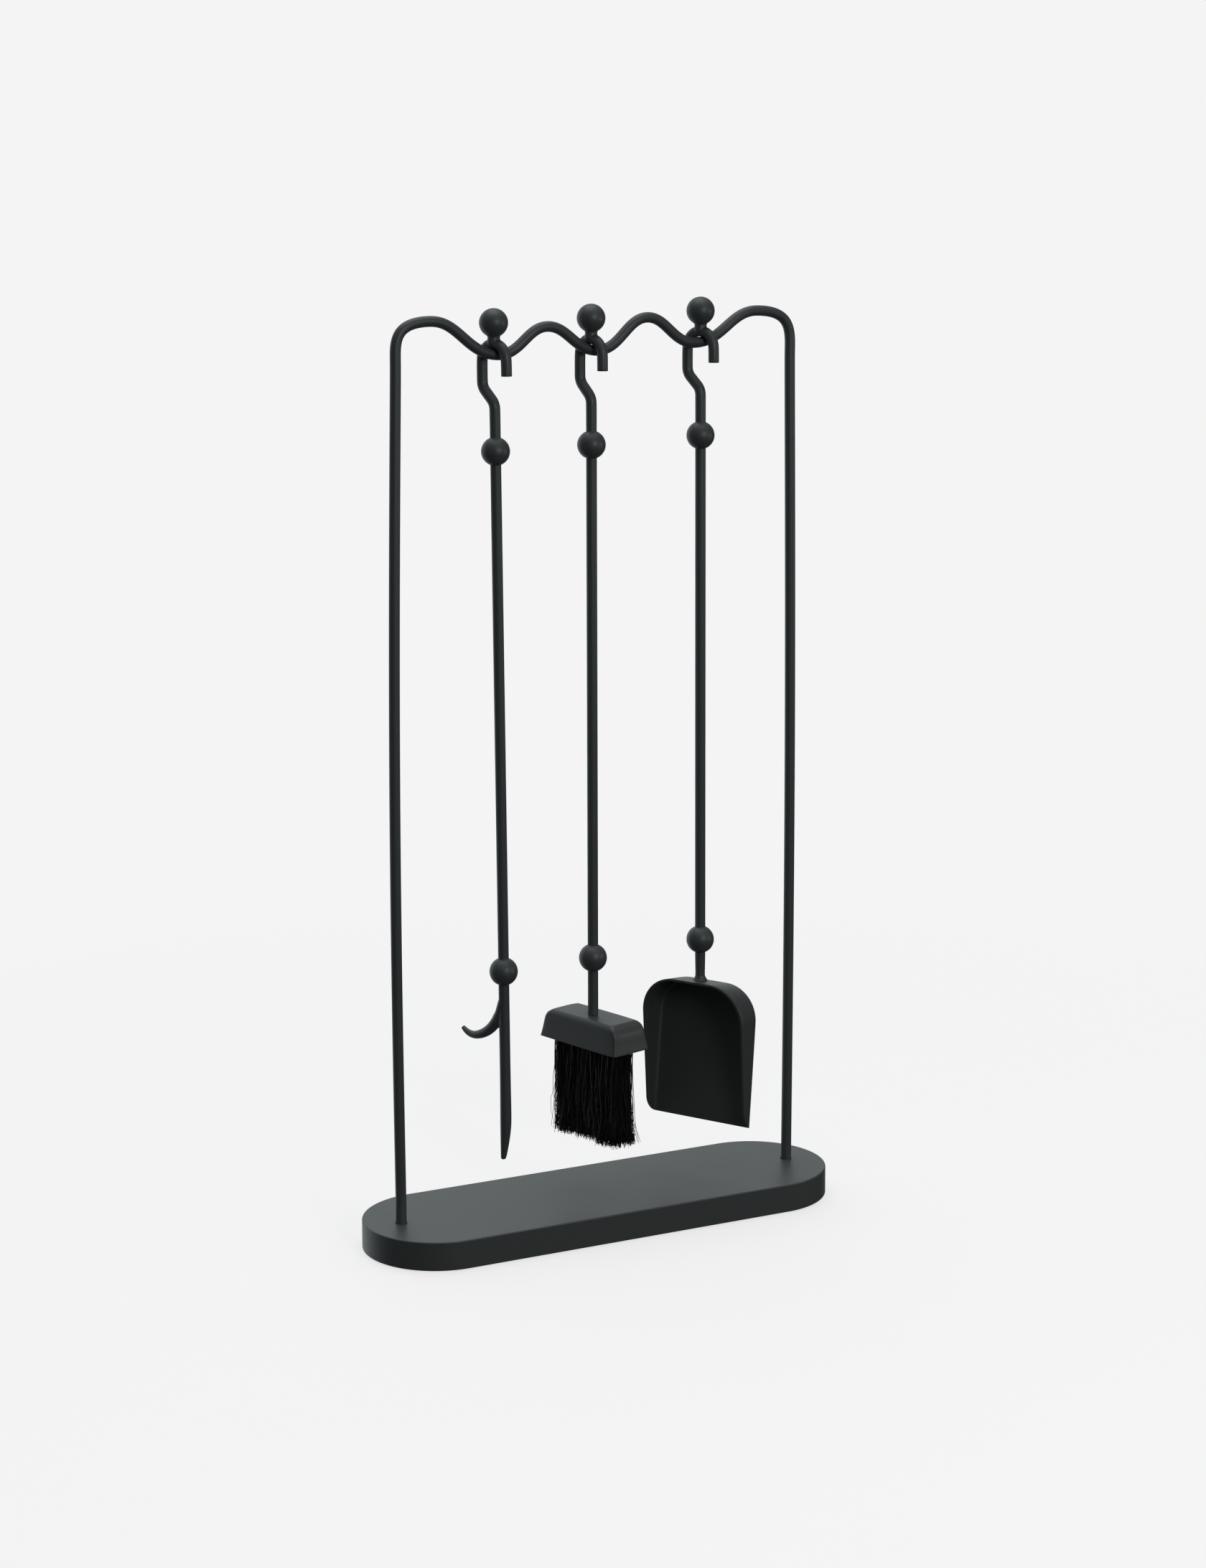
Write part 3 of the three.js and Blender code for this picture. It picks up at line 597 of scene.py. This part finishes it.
def tool_axis(tool):
    return (centre_of(f"{tool}_upper_ball") - centre_of(f"{tool}_lower_ball")).normalized()


def on_tool(tool, origin):
    """The frame of a tool: Z up its shaft and Y from the hook's front leg to its back one."""
    axis = tool_axis(tool)
    angle = tool_turn(tool)
    across = Vector((cos(angle), sin(angle), 0))
    across = (across - axis * across.dot(axis)).normalized()
    back = axis.cross(across)
    matrix = Matrix((across, back, axis)).transposed().to_4x4()
    matrix.translation = origin
    return matrix


# ---------------------------------------------------------------- pieces


def ball_profile(bore, bead):
    """Half of a ball's section from its lower bore to its upper one, with a bead at each rod."""
    radius = sizes().ball_radius
    reach = bore + bead
    height = sqrt((radius + bead) ** 2 - reach ** 2)
    contact = math.atan2(reach, height)
    upper = arc((0, 0), radius, pi / 2, contact, 14)
    upper += arc((reach, height), bead, pi + contact, 1.5 * pi, 5)[1:]
    lower = [(across, -along) for across, along in reversed(upper)]
    return lower + upper[1:]


def socketed_ball(name):
    """A ball with a rod welded into each end, about its own centre."""
    size = sizes()
    weld_gap = 0.03 * MM
    bore = size.rod_radius + weld_gap
    floor = size.ball_radius - SOCKET_DEPTH
    skin = ball_profile(bore, size.bead_radius)
    profile = [(0, -floor), (bore, -floor), *skin, (bore, floor), (0, floor)]
    return turned(name, profile)


def finial(name, rise):
    """The ball on a hook, its neck saddled on the arch. The origin is the arch's top centre."""
    size = sizes()
    neck, hollow, radius = size.neck_radius, size.neck_fillet, size.ball_radius
    waist = neck - 0.7 * MM
    reach = waist + hollow
    height = rise - sqrt((radius + hollow) ** 2 - reach ** 2)
    contact = math.atan2(reach, rise - height)
    foot, foot_radius = -2.6 * MM, 3.9 * MM  # inside the arch's own rod
    shoulder = [(neck - 0.5 * MM, -0.8 * MM), (neck, 0.6 * MM), (neck - 0.1 * MM, 1.8 * MM)]
    points = [(0, foot), (foot_radius, foot), *shoulder, (waist + 0.15 * MM, 3.4 * MM)]
    points += arc((reach, height), hollow, 1.5 * pi, 2 * pi - contact, 6)
    points += arc((0, rise), radius, pi - contact, 0, 22)[1:]
    points[-1] = (0, rise + radius)
    return turned(name, points)


class HearthPlate(bpy.types.Operator):
    """The round-ended floor plate, with its post sockets, counterbores and pad recesses"""

    bl_idname = "hearth.floor_plate"
    bl_label = "Floor plate"

    def execute(self, context):
        size = sizes()
        low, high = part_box("base_plate")
        radius = (high.y - low.y) / 2
        straight = (high.x - low.x) / 2 - radius
        around = 224
        clear_selection()
        bpy.ops.mesh.primitive_cylinder_add(
            vertices=around, radius=radius, depth=high.z - low.z, end_fill_type="NGON",
            location=(0, 0, (low.z + high.z) / 2),
        )
        plate = named("floor_plate")
        bpy.ops.object.transform_apply(location=True)
        open_edit(plate)
        for side in (-1, 1):
            pick(plate, "VERT", lambda v: v.co.x * side > MERGE_DISTANCE)
            bpy.ops.transform.translate(value=(side * straight, 0, 0))
        middle = (low.z + high.z) / 2
        pick(plate, "EDGE", lambda e: (e.verts[0].co.z > middle) == (e.verts[1].co.z > middle))
        bpy.ops.mesh.bevel(offset=size.plate_round, segments=5, profile=0.5, affect="EDGES")
        close_edit()
        for cutter in self.cutters(high.z):
            cut_by(plate, cutter)
        finished(plate, "stand", "plate_coat", plate_coat(), "base_plate", angle=radians(25))
        modified(plate, "WEIGHTED_NORMAL", keep_sharp=True)
        return {"FINISHED"}

    def cutters(self, top):
        size = sizes()
        bore = size.rod_radius + 0.25 * MM
        mouth = 1.1 * MM  # rounding where a post goes in
        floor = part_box("rack_rod")[0].z - SEAT_GAP
        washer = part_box("left_post_washer")
        seat = washer[1].z + SEAT_GAP
        well = (washer[1].x - washer[0].x) / 2 + 0.8 * MM  # a key's room round the washer
        shank = 2.8 * MM
        made = []
        for side in SIDES:
            x = centre_of(f"{side}_post_washer").x
            profile = [(0, -MM), (well, -MM), (well, seat), (shank, seat), (shank, floor)]
            profile += [(bore, floor), (bore, top - mouth)]
            profile += arc((bore + mouth, top - mouth), mouth, 1.5 * pi, 2 * pi, 5)[1:]
            profile += [(bore + mouth, top + MM), (0, top + MM)]
            made.append(placed(turned("post_cutter", profile, 64), Matrix.Translation((x, 0, 0))))
        for end in PADS:
            low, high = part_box(f"{end}_pad")
            reach, roof = (high.x - low.x) / 2 + SEAT_GAP, high.z + SEAT_GAP
            profile = [(0, -MM), (reach, -MM), (reach, roof), (0, roof)]
            centre = Vector(((low.x + high.x) / 2, (low.y + high.y) / 2, 0))
            made.append(placed(turned("pad_cutter", profile, 48), Matrix.Translation(centre)))
        return made


class HearthFixings(bpy.types.Operator):
    """The screws and washers that hold the posts, and the rubber pads under the plate"""

    bl_idname = "hearth.fixings"
    bl_label = "Screws, washers and pads"

    def execute(self, context):
        steel, rubber = zinc_steel(), pad_rubber()
        for side in SIDES:
            self.screw(side, steel)
            self.washer(side, steel)
        for end in PADS:
            self.pad(end, rubber)
        return {"FINISHED"}

    def screw(self, side, steel):
        low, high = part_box(f"{side}_post_screw")
        head, edge = (high.x - low.x) / 2, 0.4 * MM
        head_height, plain_end = 5 * MM, 0.5 * MM
        head_top = low.z + head_height
        shank, pitch, depth = 2.5 * MM, 0.8 * MM, 0.35 * MM
        key_radius, key_length = 2.3 * MM, 5.2 * MM
        profile = [(0, low.z), (head - edge, low.z), (head, low.z + edge), (head, head_top)]
        root = shank - depth
        profile += [(root, head_top)]
        height = head_top + pitch
        while height + pitch < high.z - plain_end:
            profile += [(root, height), (shank, height + 0.4 * pitch), (root, height + 0.8 * pitch)]
            height += pitch
        profile += [(shank - 2 * depth, high.z), (0, high.z)]
        screw = turned(f"{side}_screw", profile, 32)
        clear_selection()
        bpy.ops.mesh.primitive_cylinder_add(
            vertices=6, radius=key_radius, depth=key_length, location=(0, 0, low.z),
        )
        socket = named("key_socket")
        cut_by(screw, socket)
        placed(screw, Matrix.Translation(((low.x + high.x) / 2, 0, 0)))
        finished(screw, "stand", "screw_steel", steel, f"{side}_post_screw")

    def washer(self, side, steel):
        low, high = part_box(f"{side}_post_washer")
        outer = (high.x - low.x) / 2
        hole, edge = 2.8 * MM, 0.15 * MM
        profile = [
            (hole, low.z), (outer - edge, low.z), (outer, low.z + edge), (outer, high.z - edge),
            (outer - edge, high.z), (hole, high.z), (hole, low.z),
        ]
        washer = turned(f"{side}_washer", profile, 40)
        placed(washer, Matrix.Translation(((low.x + high.x) / 2, 0, 0)))
        finished(washer, "stand", "screw_steel", steel, f"{side}_post_washer")

    def pad(self, end, rubber):
        low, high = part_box(f"{end}_pad")
        outer = (high.x - low.x) / 2
        edge, dish = 0.5 * MM, 0.25 * MM
        profile = [(0, dish), (outer * 0.55, dish), (outer * 0.6, 0)]
        profile += [(outer - edge, 0), (outer, edge), (outer, high.z), (0, high.z)]
        pad = turned(f"{end}_foot_pad", profile, 48)
        placed(pad, Matrix.Translation(((low.x + high.x) / 2, (low.y + high.y) / 2, 0)))
        finished(pad, "stand", "pad_rubber", rubber, f"{end}_pad")


class HearthRack(bpy.types.Operator):
    """The one rod that makes both posts and the wave across the top"""

    bl_idname = "hearth.rack"
    bl_label = "Rack"

    def execute(self, context):
        rack = smoothed("rack_rod", "rack", 2, rod_swell())
        finished(rack, "stand", "rod_coat", rod_coat(), "rack_rod")
        return {"FINISHED"}


class HearthHandles(bpy.types.Operator):
    """The hook, shaft and three balls that all the tools share"""

    bl_idname = "hearth.handles"
    bl_label = "Handles"

    def execute(self, context):
        ball = socketed_ball("welded_ball")
        for tool in TOOLS:
            coat = rod_coat()
            hook = smoothed(f"{tool}_hook", f"{tool}_bent_hook", 2, rod_swell())
            edge_rounded(hook, sizes().tip_round, 3)
            finished(hook, tool, "rod_coat", coat, f"{tool}_hook")
            shaft = self.shaft(tool)
            finished(shaft, tool, "rod_coat", coat, f"{tool}_shaft")
            for end in ("upper", "lower"):
                only(ball)
                bpy.ops.object.duplicate(linked=False)
                copy = named(f"{tool}_{end}_welded_ball")
                placed(copy, on_tool(tool, centre_of(f"{tool}_{end}_ball")))
                finished(copy, tool, "rod_coat", coat, f"{tool}_{end}_ball")
            self.finial(tool, coat)
        bpy.data.objects.remove(ball)
        return {"FINISHED"}

    def shaft(self, tool):
        """A straight rod with the faint waves that a drawn bar has."""
        low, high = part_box(f"{tool}_shaft")
        lower = centre_of(f"{tool}_lower_ball")
        start, end = low.z - lower.z + END_GAP, high.z - lower.z - END_GAP
        radius, edge, waver = sizes().rod_radius, 0.4 * MM, 0.03 * MM
        profile = [(0, start), (radius - edge, start), (radius, start + edge)]
        rings, beat = 24, 2.3
        for i in range(1, rings):
            height = start + (end - start) * i / rings
            profile.append((radius - waver * (1 + sin(beat * i)) / 2, height))
        profile += [(radius, end - edge), (radius - edge, end), (0, end)]
        shaft = turned(f"{tool}_round_shaft", profile, 40)
        return placed(shaft, on_tool(tool, lower))

    def finial(self, tool, coat):
        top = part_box(f"{tool}_finial_ball")[1].z
        upper = centre_of(f"{tool}_upper_ball")
        axis = tool_axis(tool)
        radius = sizes().ball_radius
        along = (top - radius - upper.z) / axis.z - FINIAL_RISE
        piece = finial(f"{tool}_finial", FINIAL_RISE)
        placed(piece, on_tool(tool, upper + axis * along))
        finished(piece, tool, "rod_coat", coat, f"{tool}_finial_ball")


class HearthPokerHead(bpy.types.Operator):
    """The poker's blade and horn, forged into one"""

    bl_idname = "hearth.poker_head"
    bl_label = "Poker head"

    def execute(self, context):
        horn_swell, voxel = 0.45 * MM, 0.5 * MM
        blade = smoothed("poker_blade", "poker_head", 2, rod_swell())
        horn = smoothed("poker_horn", "horn", 2, horn_swell)
        joined(blade, horn, self.root())
        modified(blade, "REMESH", mode="VOXEL", voxel_size=voxel, use_smooth_shade=True)
        modified(blade, "SMOOTH", factor=0.5, iterations=4)
        finished(blade, "poker", "rod_coat", rod_coat(), "poker_blade", "poker_horn")
        return {"FINISHED"}

    def root(self):
        """The thickening that forging leaves where the horn splits off the shank."""
        clear_selection()
        bpy.ops.mesh.primitive_uv_sphere_add(segments=32, ring_count=20, radius=1.0)
        swelling = named("horn_root")
        half_wide, half_deep, half_tall = 4.9 * MM, 6.3 * MM, 13.5 * MM
        behind, below, lean = 6.0 * MM, 43.0 * MM, radians(36)
        shape = Matrix.Diagonal((half_wide, half_deep, half_tall, 1.0))
        tilt = Matrix.Translation((0, behind, -below)) @ Matrix.Rotation(lean, 4, "X")
        return placed(swelling, on_tool("poker", centre_of("poker_lower_ball")) @ tilt @ shape)


class HearthBrushHolder(bpy.types.Operator):
    """The brush's stem, pressed cap, wooden block and threaded insert"""

    bl_idname = "hearth.brush_holder"
    bl_label = "Brush holder"

    def execute(self, context):
        stem = smoothed("brush_stem", "brush_shank", 2, rod_swell())
        finished(stem, "brush", "rod_coat", rod_coat(), "brush_stem")
        cap = smoothed("brush_cap", "brush_pressed_cap", 2)
        edge_rounded(cap, 0.35 * MM)
        finished(cap, "brush", "sheet_coat", sheet_coat(), "brush_cap")
        block = smoothed("brush_block", "brush_beech_block", 1)
        edge_rounded(block, 0.5 * MM)
        finished(block, "brush", "block_wood", beech(), "brush_block")
        insert = smoothed("brush_insert", "brush_threaded_insert", 2)
        finished(insert, "brush", "insert_brass", plain_brass(), "brush_insert")
        return {"FINISHED"}


class HearthBristles(bpy.types.Operator):
    """Several thousand separate bristles, set in tufts in the block"""

    bl_idname = "hearth.bristles"
    bl_label = "Bristles"

    seed = 7
    rings = 9
    sides = 3
    tufts_long, tufts_wide = 13, 4
    field = (41.2 * MM, 10.8 * MM)  # half the length and width that the tufts fill
    limit = (46.5 * MM, 16.5 * MM)  # how far from the middle a bristle may reach
    scatter = (1.4 * MM, 1.1 * MM)  # of roots within a tuft
    stray_share, short_share = 0.05, 0.08

    def execute(self, context):
        low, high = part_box("brush_bristles")
        angle = sizes().cap_turn
        middle = (low + high) / 2
        along = np.array((-sin(angle), cos(angle), 0.0))
        across = np.array((cos(angle), sin(angle), 0.0))
        root = np.array((middle.x, middle.y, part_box("brush_block")[0].z - 0.2 * MM))
        drop = root[2] - low.z
        rng = np.random.default_rng(self.seed)
        count = sizes().bristle_count
        paths = self.paths(rng, count, drop)
        up = np.array((0, 0, 1.0))
        points = root + paths[..., :1] * along + paths[..., 1:2] * across - paths[..., 2:] * up
        piece = self.strands(points, along, across, rng, count)
        finished(piece, "brush", "bristle_fibre", bristle_fibre(), "brush_bristles", angle=radians(180))
        return {"FINISHED"}

    def paths(self, rng, count, drop):
        """Where each bristle runs: along the block, across it, and down from its root."""
        half_long, half_wide = self.field
        limit_u, limit_v = self.limit
        tufts_long, tufts_wide = self.tufts_long, self.tufts_wide
        tufts = tufts_long * tufts_wide
        tuft = rng.integers(0, tufts, count)
        tuft_u = (tuft % tufts_long + 0.5) / tufts_long * 2 - 1
        tuft_v = (tuft // tufts_long + 0.5) / tufts_wide * 2 - 1
        spread = rng.normal(0, 1, (count, 2)) * np.array(self.scatter)
        u = tuft_u * half_long + spread[:, 0]
        v = tuft_v * half_wide + spread[:, 1]
        lean = rng.normal(0, 1, (count, 2)) * np.array((3.4, 2.4)) * MM
        clump = rng.normal(0, 1, (tufts, 2)) * np.array((2.4, 1.5)) * MM
        bow = rng.normal(0, 1, (count, 2)) * np.array((2.1, 1.4)) * MM
        curl = rng.normal(0, 1, (count, 2)) * np.array((1.8, 1.2)) * MM
        phase = rng.uniform(0, 2 * pi, (count, 1))
        turns = rng.uniform(1.2, 2.6, (count, 1))
        stray = rng.random(count) < self.stray_share
        lean[stray] *= 1.8
        inner = np.stack((1 - 0.85 * tuft_u ** 2, 1 - 0.5 * tuft_v ** 2), axis=-1)
        lean *= inner
        curl[stray] *= 1.8
        clump_end = rng.uniform(0.965, 1.0, tufts)
        end = drop * (clump_end[tuft] + rng.normal(0, 0.02, count))
        end[rng.random(count) < self.short_share] *= 0.93
        end = np.clip(end, 0.6 * drop, 1.012 * drop)
        t = np.linspace(0, 1, self.rings)[None, :]
        hang = t ** 1.6
        near = np.clip(-tuft_u, 0, 1)[:, None] ** 3
        du = lean[:, :1] + 0.6 * clump[tuft, :1] - 1.0 * MM * near
        dv = lean[:, 1:] + clump[tuft, 1:] + 0.12 * v[:, None]
        swing = np.sin(pi * t)
        path_u = u[:, None] + du * hang + (bow[:, :1] + 5.0 * MM * near) * swing
        path_u = path_u + curl[:, :1] * t * np.sin(2 * pi * turns * t + phase)
        path_v = v[:, None] + dv * hang + bow[:, 1:] * swing
        path_v = path_v + curl[:, 1:] * t * np.cos(2 * pi * turns * t + phase)
        path_u = np.clip(path_u, -limit_u, limit_u)
        path_v = np.clip(path_v, -limit_v, limit_v)
        return np.stack((path_u, path_v, end[:, None] * t * np.ones((count, 1))), axis=-1)

    def strands(self, points, along, across, rng, count):
        """Thin three-sided bristles, each closed at both ends, in one mesh."""
        radius = sizes().bristle_radius * rng.uniform(0.75, 1.2, count)
        taper = np.linspace(1.0, 0.5, self.rings)
        start = rng.uniform(0, 2 * pi, count)
        corners = []
        for side in range(self.sides):
            angle = start + 2 * pi * side / self.sides
            spoke = np.cos(angle)[:, None, None] * along + np.sin(angle)[:, None, None] * across
            corners.append(points + spoke * (radius[:, None] * taper)[..., None])
        vertices = np.stack(corners, axis=2).reshape(-1, 3)
        faces = []
        per_strand = self.rings * self.sides
        for strand in range(count):
            first = strand * per_strand
            faces.append([first + side for side in range(self.sides)])
            for ring in range(self.rings - 1):
                a = first + ring * self.sides
                b = a + self.sides
                for side in range(self.sides):
                    after = (side + 1) % self.sides
                    faces.append([a + side, b + side, b + after, a + after])
            last = first + (self.rings - 1) * self.sides
            faces.append([last + side for side in reversed(range(self.sides))])
        mesh = bpy.data.meshes.new("brush_bristle_tufts")
        mesh.from_pydata(vertices.tolist(), [], faces)
        tones = np.clip(rng.gamma(1.3, 0.13, count), 0.0, 0.6)
        tones[rng.random(count) < 0.03] = 0.9
        # Tones rise towards each bristle's end: a painted glint of backlight through the ragged ends.
        tip_glint = np.linspace(0.85, 1.25, self.rings)
        values = (tones[:, None, None] * tip_glint[None, :, None] * np.ones((1, 1, self.sides))).reshape(-1)
        mesh.attributes.new("tone", "FLOAT", "POINT").data.foreach_set("value", values.astype(np.float32))
        piece = bpy.data.objects.new("brush_bristle_tufts", mesh)
        bpy.context.scene.collection.objects.link(piece)
        open_edit(piece)
        bpy.ops.mesh.normals_make_consistent(inside=False)
        close_edit()
        return piece


class HearthShovelHead(bpy.types.Operator):
    """The shovel's pan, and the stem that is welded to its end wall"""

    bl_idname = "hearth.shovel_head"
    bl_label = "Shovel head"

    def execute(self, context):
        stem = smoothed("shovel_stem", "shovel_flared_stem", 2, rod_swell())
        finished(stem, "shovel", "rod_coat", rod_coat(), "shovel_stem")
        pan = smoothed("shovel_pan", "shovel_pressed_pan", 2)
        edge_rounded(pan, 0.4 * MM)
        finished(pan, "shovel", "sheet_coat", sheet_coat(), "shovel_pan")
        return {"FINISHED"}


class HearthStage(bpy.types.Operator):
    """The pale floor, the soft lights and the camera"""

    bl_idname = "hearth.stage"
    bl_label = "Stage"

    def execute(self, context):
        self.floor()
        self.world()
        # name, power, width, place
        lamps = (
            ("key_light", studio().key, 1.0, (0.15, -2.9, 1.35)),
            ("fill_light", studio().fill, 0.7, (2.3, -1.5, 0.65)),
            ("top_light", studio().top, 2.2, (0.0, 0.4, 2.9)),
        )
        for name, power, width, place in lamps:
            self.lamp(name, power, width, place)
        self.camera()
        return {"FINISHED"}

    def floor(self):
        clear_selection()
        width, fade_start, fade_end = 12, 0.55, 1.3
        bpy.ops.mesh.primitive_plane_add(size=width)
        floor = named(FLOOR_NAME)
        material, tree, shader = new_material("studio_paper")
        place = node(tree, "ShaderNodeTexCoord").outputs["Object"]
        tint = colours().floor
        faint = times(tint, 0.985)
        shade = blended(tree, noise(tree, place, 6.0, 3.0), (*tint, 1.0), faint)
        tree.links.new(shade, shader.inputs["Base Color"])
        shader.inputs["Roughness"].default_value = 0.9
        shader.inputs["Specular IOR Level"].default_value = 0.1
        glow = node(tree, "ShaderNodeEmission", [("Strength", studio().glow)])
        lit = node(tree, "ShaderNodeMixShader", [(0, studio().shadow_lift), (1, shader.outputs[0])])
        tree.links.new(glow.outputs[0], lit.inputs[2])
        away = node(tree, "ShaderNodeVectorMath", [(0, place)], operation="LENGTH").outputs["Value"]
        fade = graded(tree, away, fade_start, fade_end)
        clear = node(tree, "ShaderNodeBsdfTransparent")
        surfaces = [(0, fade), (1, lit.outputs[0]), (2, clear.outputs[0])]
        paper = node(tree, "ShaderNodeMixShader", surfaces)
        tree.links.new(paper.outputs[0], tree.nodes["Material Output"].inputs["Surface"])
        floor.data.materials.append(material)
        floor.visible_diffuse = False
        floor.visible_glossy = False

    def world(self):
        """Soft air: bright behind, dimmer overhead, dark at the sides, and even where it is seen."""
        world = bpy.data.worlds.new("studio_air")
        world.use_nodes = True
        tree = world.node_tree
        direction = node(tree, "ShaderNodeTexCoord").outputs["Generated"]
        parts = node(tree, "ShaderNodeSeparateXYZ", [("Vector", direction)])
        low_air = graded(tree, parts.outputs["Y"], 0.45, 0.9, studio().around, studio().behind)
        high_air = graded(tree, parts.outputs["Z"], 0.35, 0.95, 0.0, studio().overhead)
        air = maths(tree, low_air, high_air, "MAXIMUM")
        seen = node(tree, "ShaderNodeLightPath").outputs["Is Camera Ray"]
        strength = node(tree, "ShaderNodeMix", [(0, seen), (2, air), (3, studio().backdrop)])
        background = tree.nodes["Background"]
        cool = (0.92, 0.985, 1.0, 1.0)
        tree.links.new(blended(tree, seen, cool, WHITE), background.inputs["Color"])
        tree.links.new(strength.outputs[0], background.inputs["Strength"])
        bpy.context.scene.world = world
        bpy.context.scene.view_settings.view_transform = "Standard"

    def lamp(self, name, power, width, place):
        clear_selection()
        bpy.ops.object.light_add(type="AREA", location=place)
        lamp = named(name)
        lamp.data.shape = "DISK"
        lamp.data.size = width
        lamp.data.energy = power
        middle = Vector((0, 0, 0.35))
        aim = middle - Vector(place)
        lamp.rotation_euler = aim.to_track_quat("-Z", "Y").to_euler()

    def camera(self):
        stage = studio()
        clear_selection()
        bpy.ops.object.camera_add(location=stage.place)
        camera = named("studio_camera")
        azimuth, drop = stage.azimuth, stage.drop
        level_part = cos(drop)
        forward = Vector((-sin(azimuth) * level_part, cos(azimuth) * level_part, -sin(drop)))
        right = Vector((cos(azimuth), sin(azimuth), 0))
        up = right.cross(forward)
        level = Matrix((right, up, -forward)).transposed()
        rolled = level @ Matrix.Rotation(stage.roll, 3, "Z")
        camera.matrix_world = Matrix.Translation(Vector(stage.place)) @ rolled.to_4x4()
        camera.data.sensor_fit = "AUTO"
        camera.data.sensor_width = 36
        camera.data.lens = stage.focal_length
        camera.data.shift_y = stage.lens_shift
        camera.data.clip_end = 100
        bpy.context.scene.camera = camera


STEPS = (
    HearthPlate, HearthFixings, HearthRack, HearthHandles, HearthPokerHead,
    HearthBrushHolder, HearthBristles, HearthShovelHead, HearthStage,
)


class HearthPanel(bpy.types.Panel):
    """Builds the tool set piece by piece"""

    bl_idname = "VIEW3D_PT_hearth"
    bl_label = "Fireplace tool set"
    bl_space_type = "VIEW_3D"
    bl_region_type = "UI"
    bl_category = "Hearth"

    def draw(self, context):
        layout = self.layout
        for step in STEPS:
            layout.operator(step.bl_idname)
        for owner in GROUPS:
            group = getattr(context.scene, owner)
            box = layout.box()
            for name in group.bl_rna.properties.keys():
                if name not in {"rna_type", "name"}:
                    box.prop(group, name)


GROUPS = {
    "hearth_sizes": HearthSizes,
    "hearth_colours": HearthColours,
    "hearth_studio": HearthStudio,
}


def register():
    for name, group in GROUPS.items():
        bpy.utils.register_class(group)
        setattr(bpy.types.Scene, name, PointerProperty(type=group))
    for step in STEPS:
        bpy.utils.register_class(step)
    bpy.utils.register_class(HearthPanel)


def unregister():
    bpy.utils.unregister_class(HearthPanel)
    for step in reversed(STEPS):
        bpy.utils.unregister_class(step)
    for name, group in GROUPS.items():
        delattr(bpy.types.Scene, name)
        bpy.utils.unregister_class(group)


def main():
    register()
    for step in STEPS:
        family, action = step.bl_idname.split(".")
        getattr(getattr(bpy.ops, family), action)()
    clear_selection()


if __name__ == "__main__":
    main()
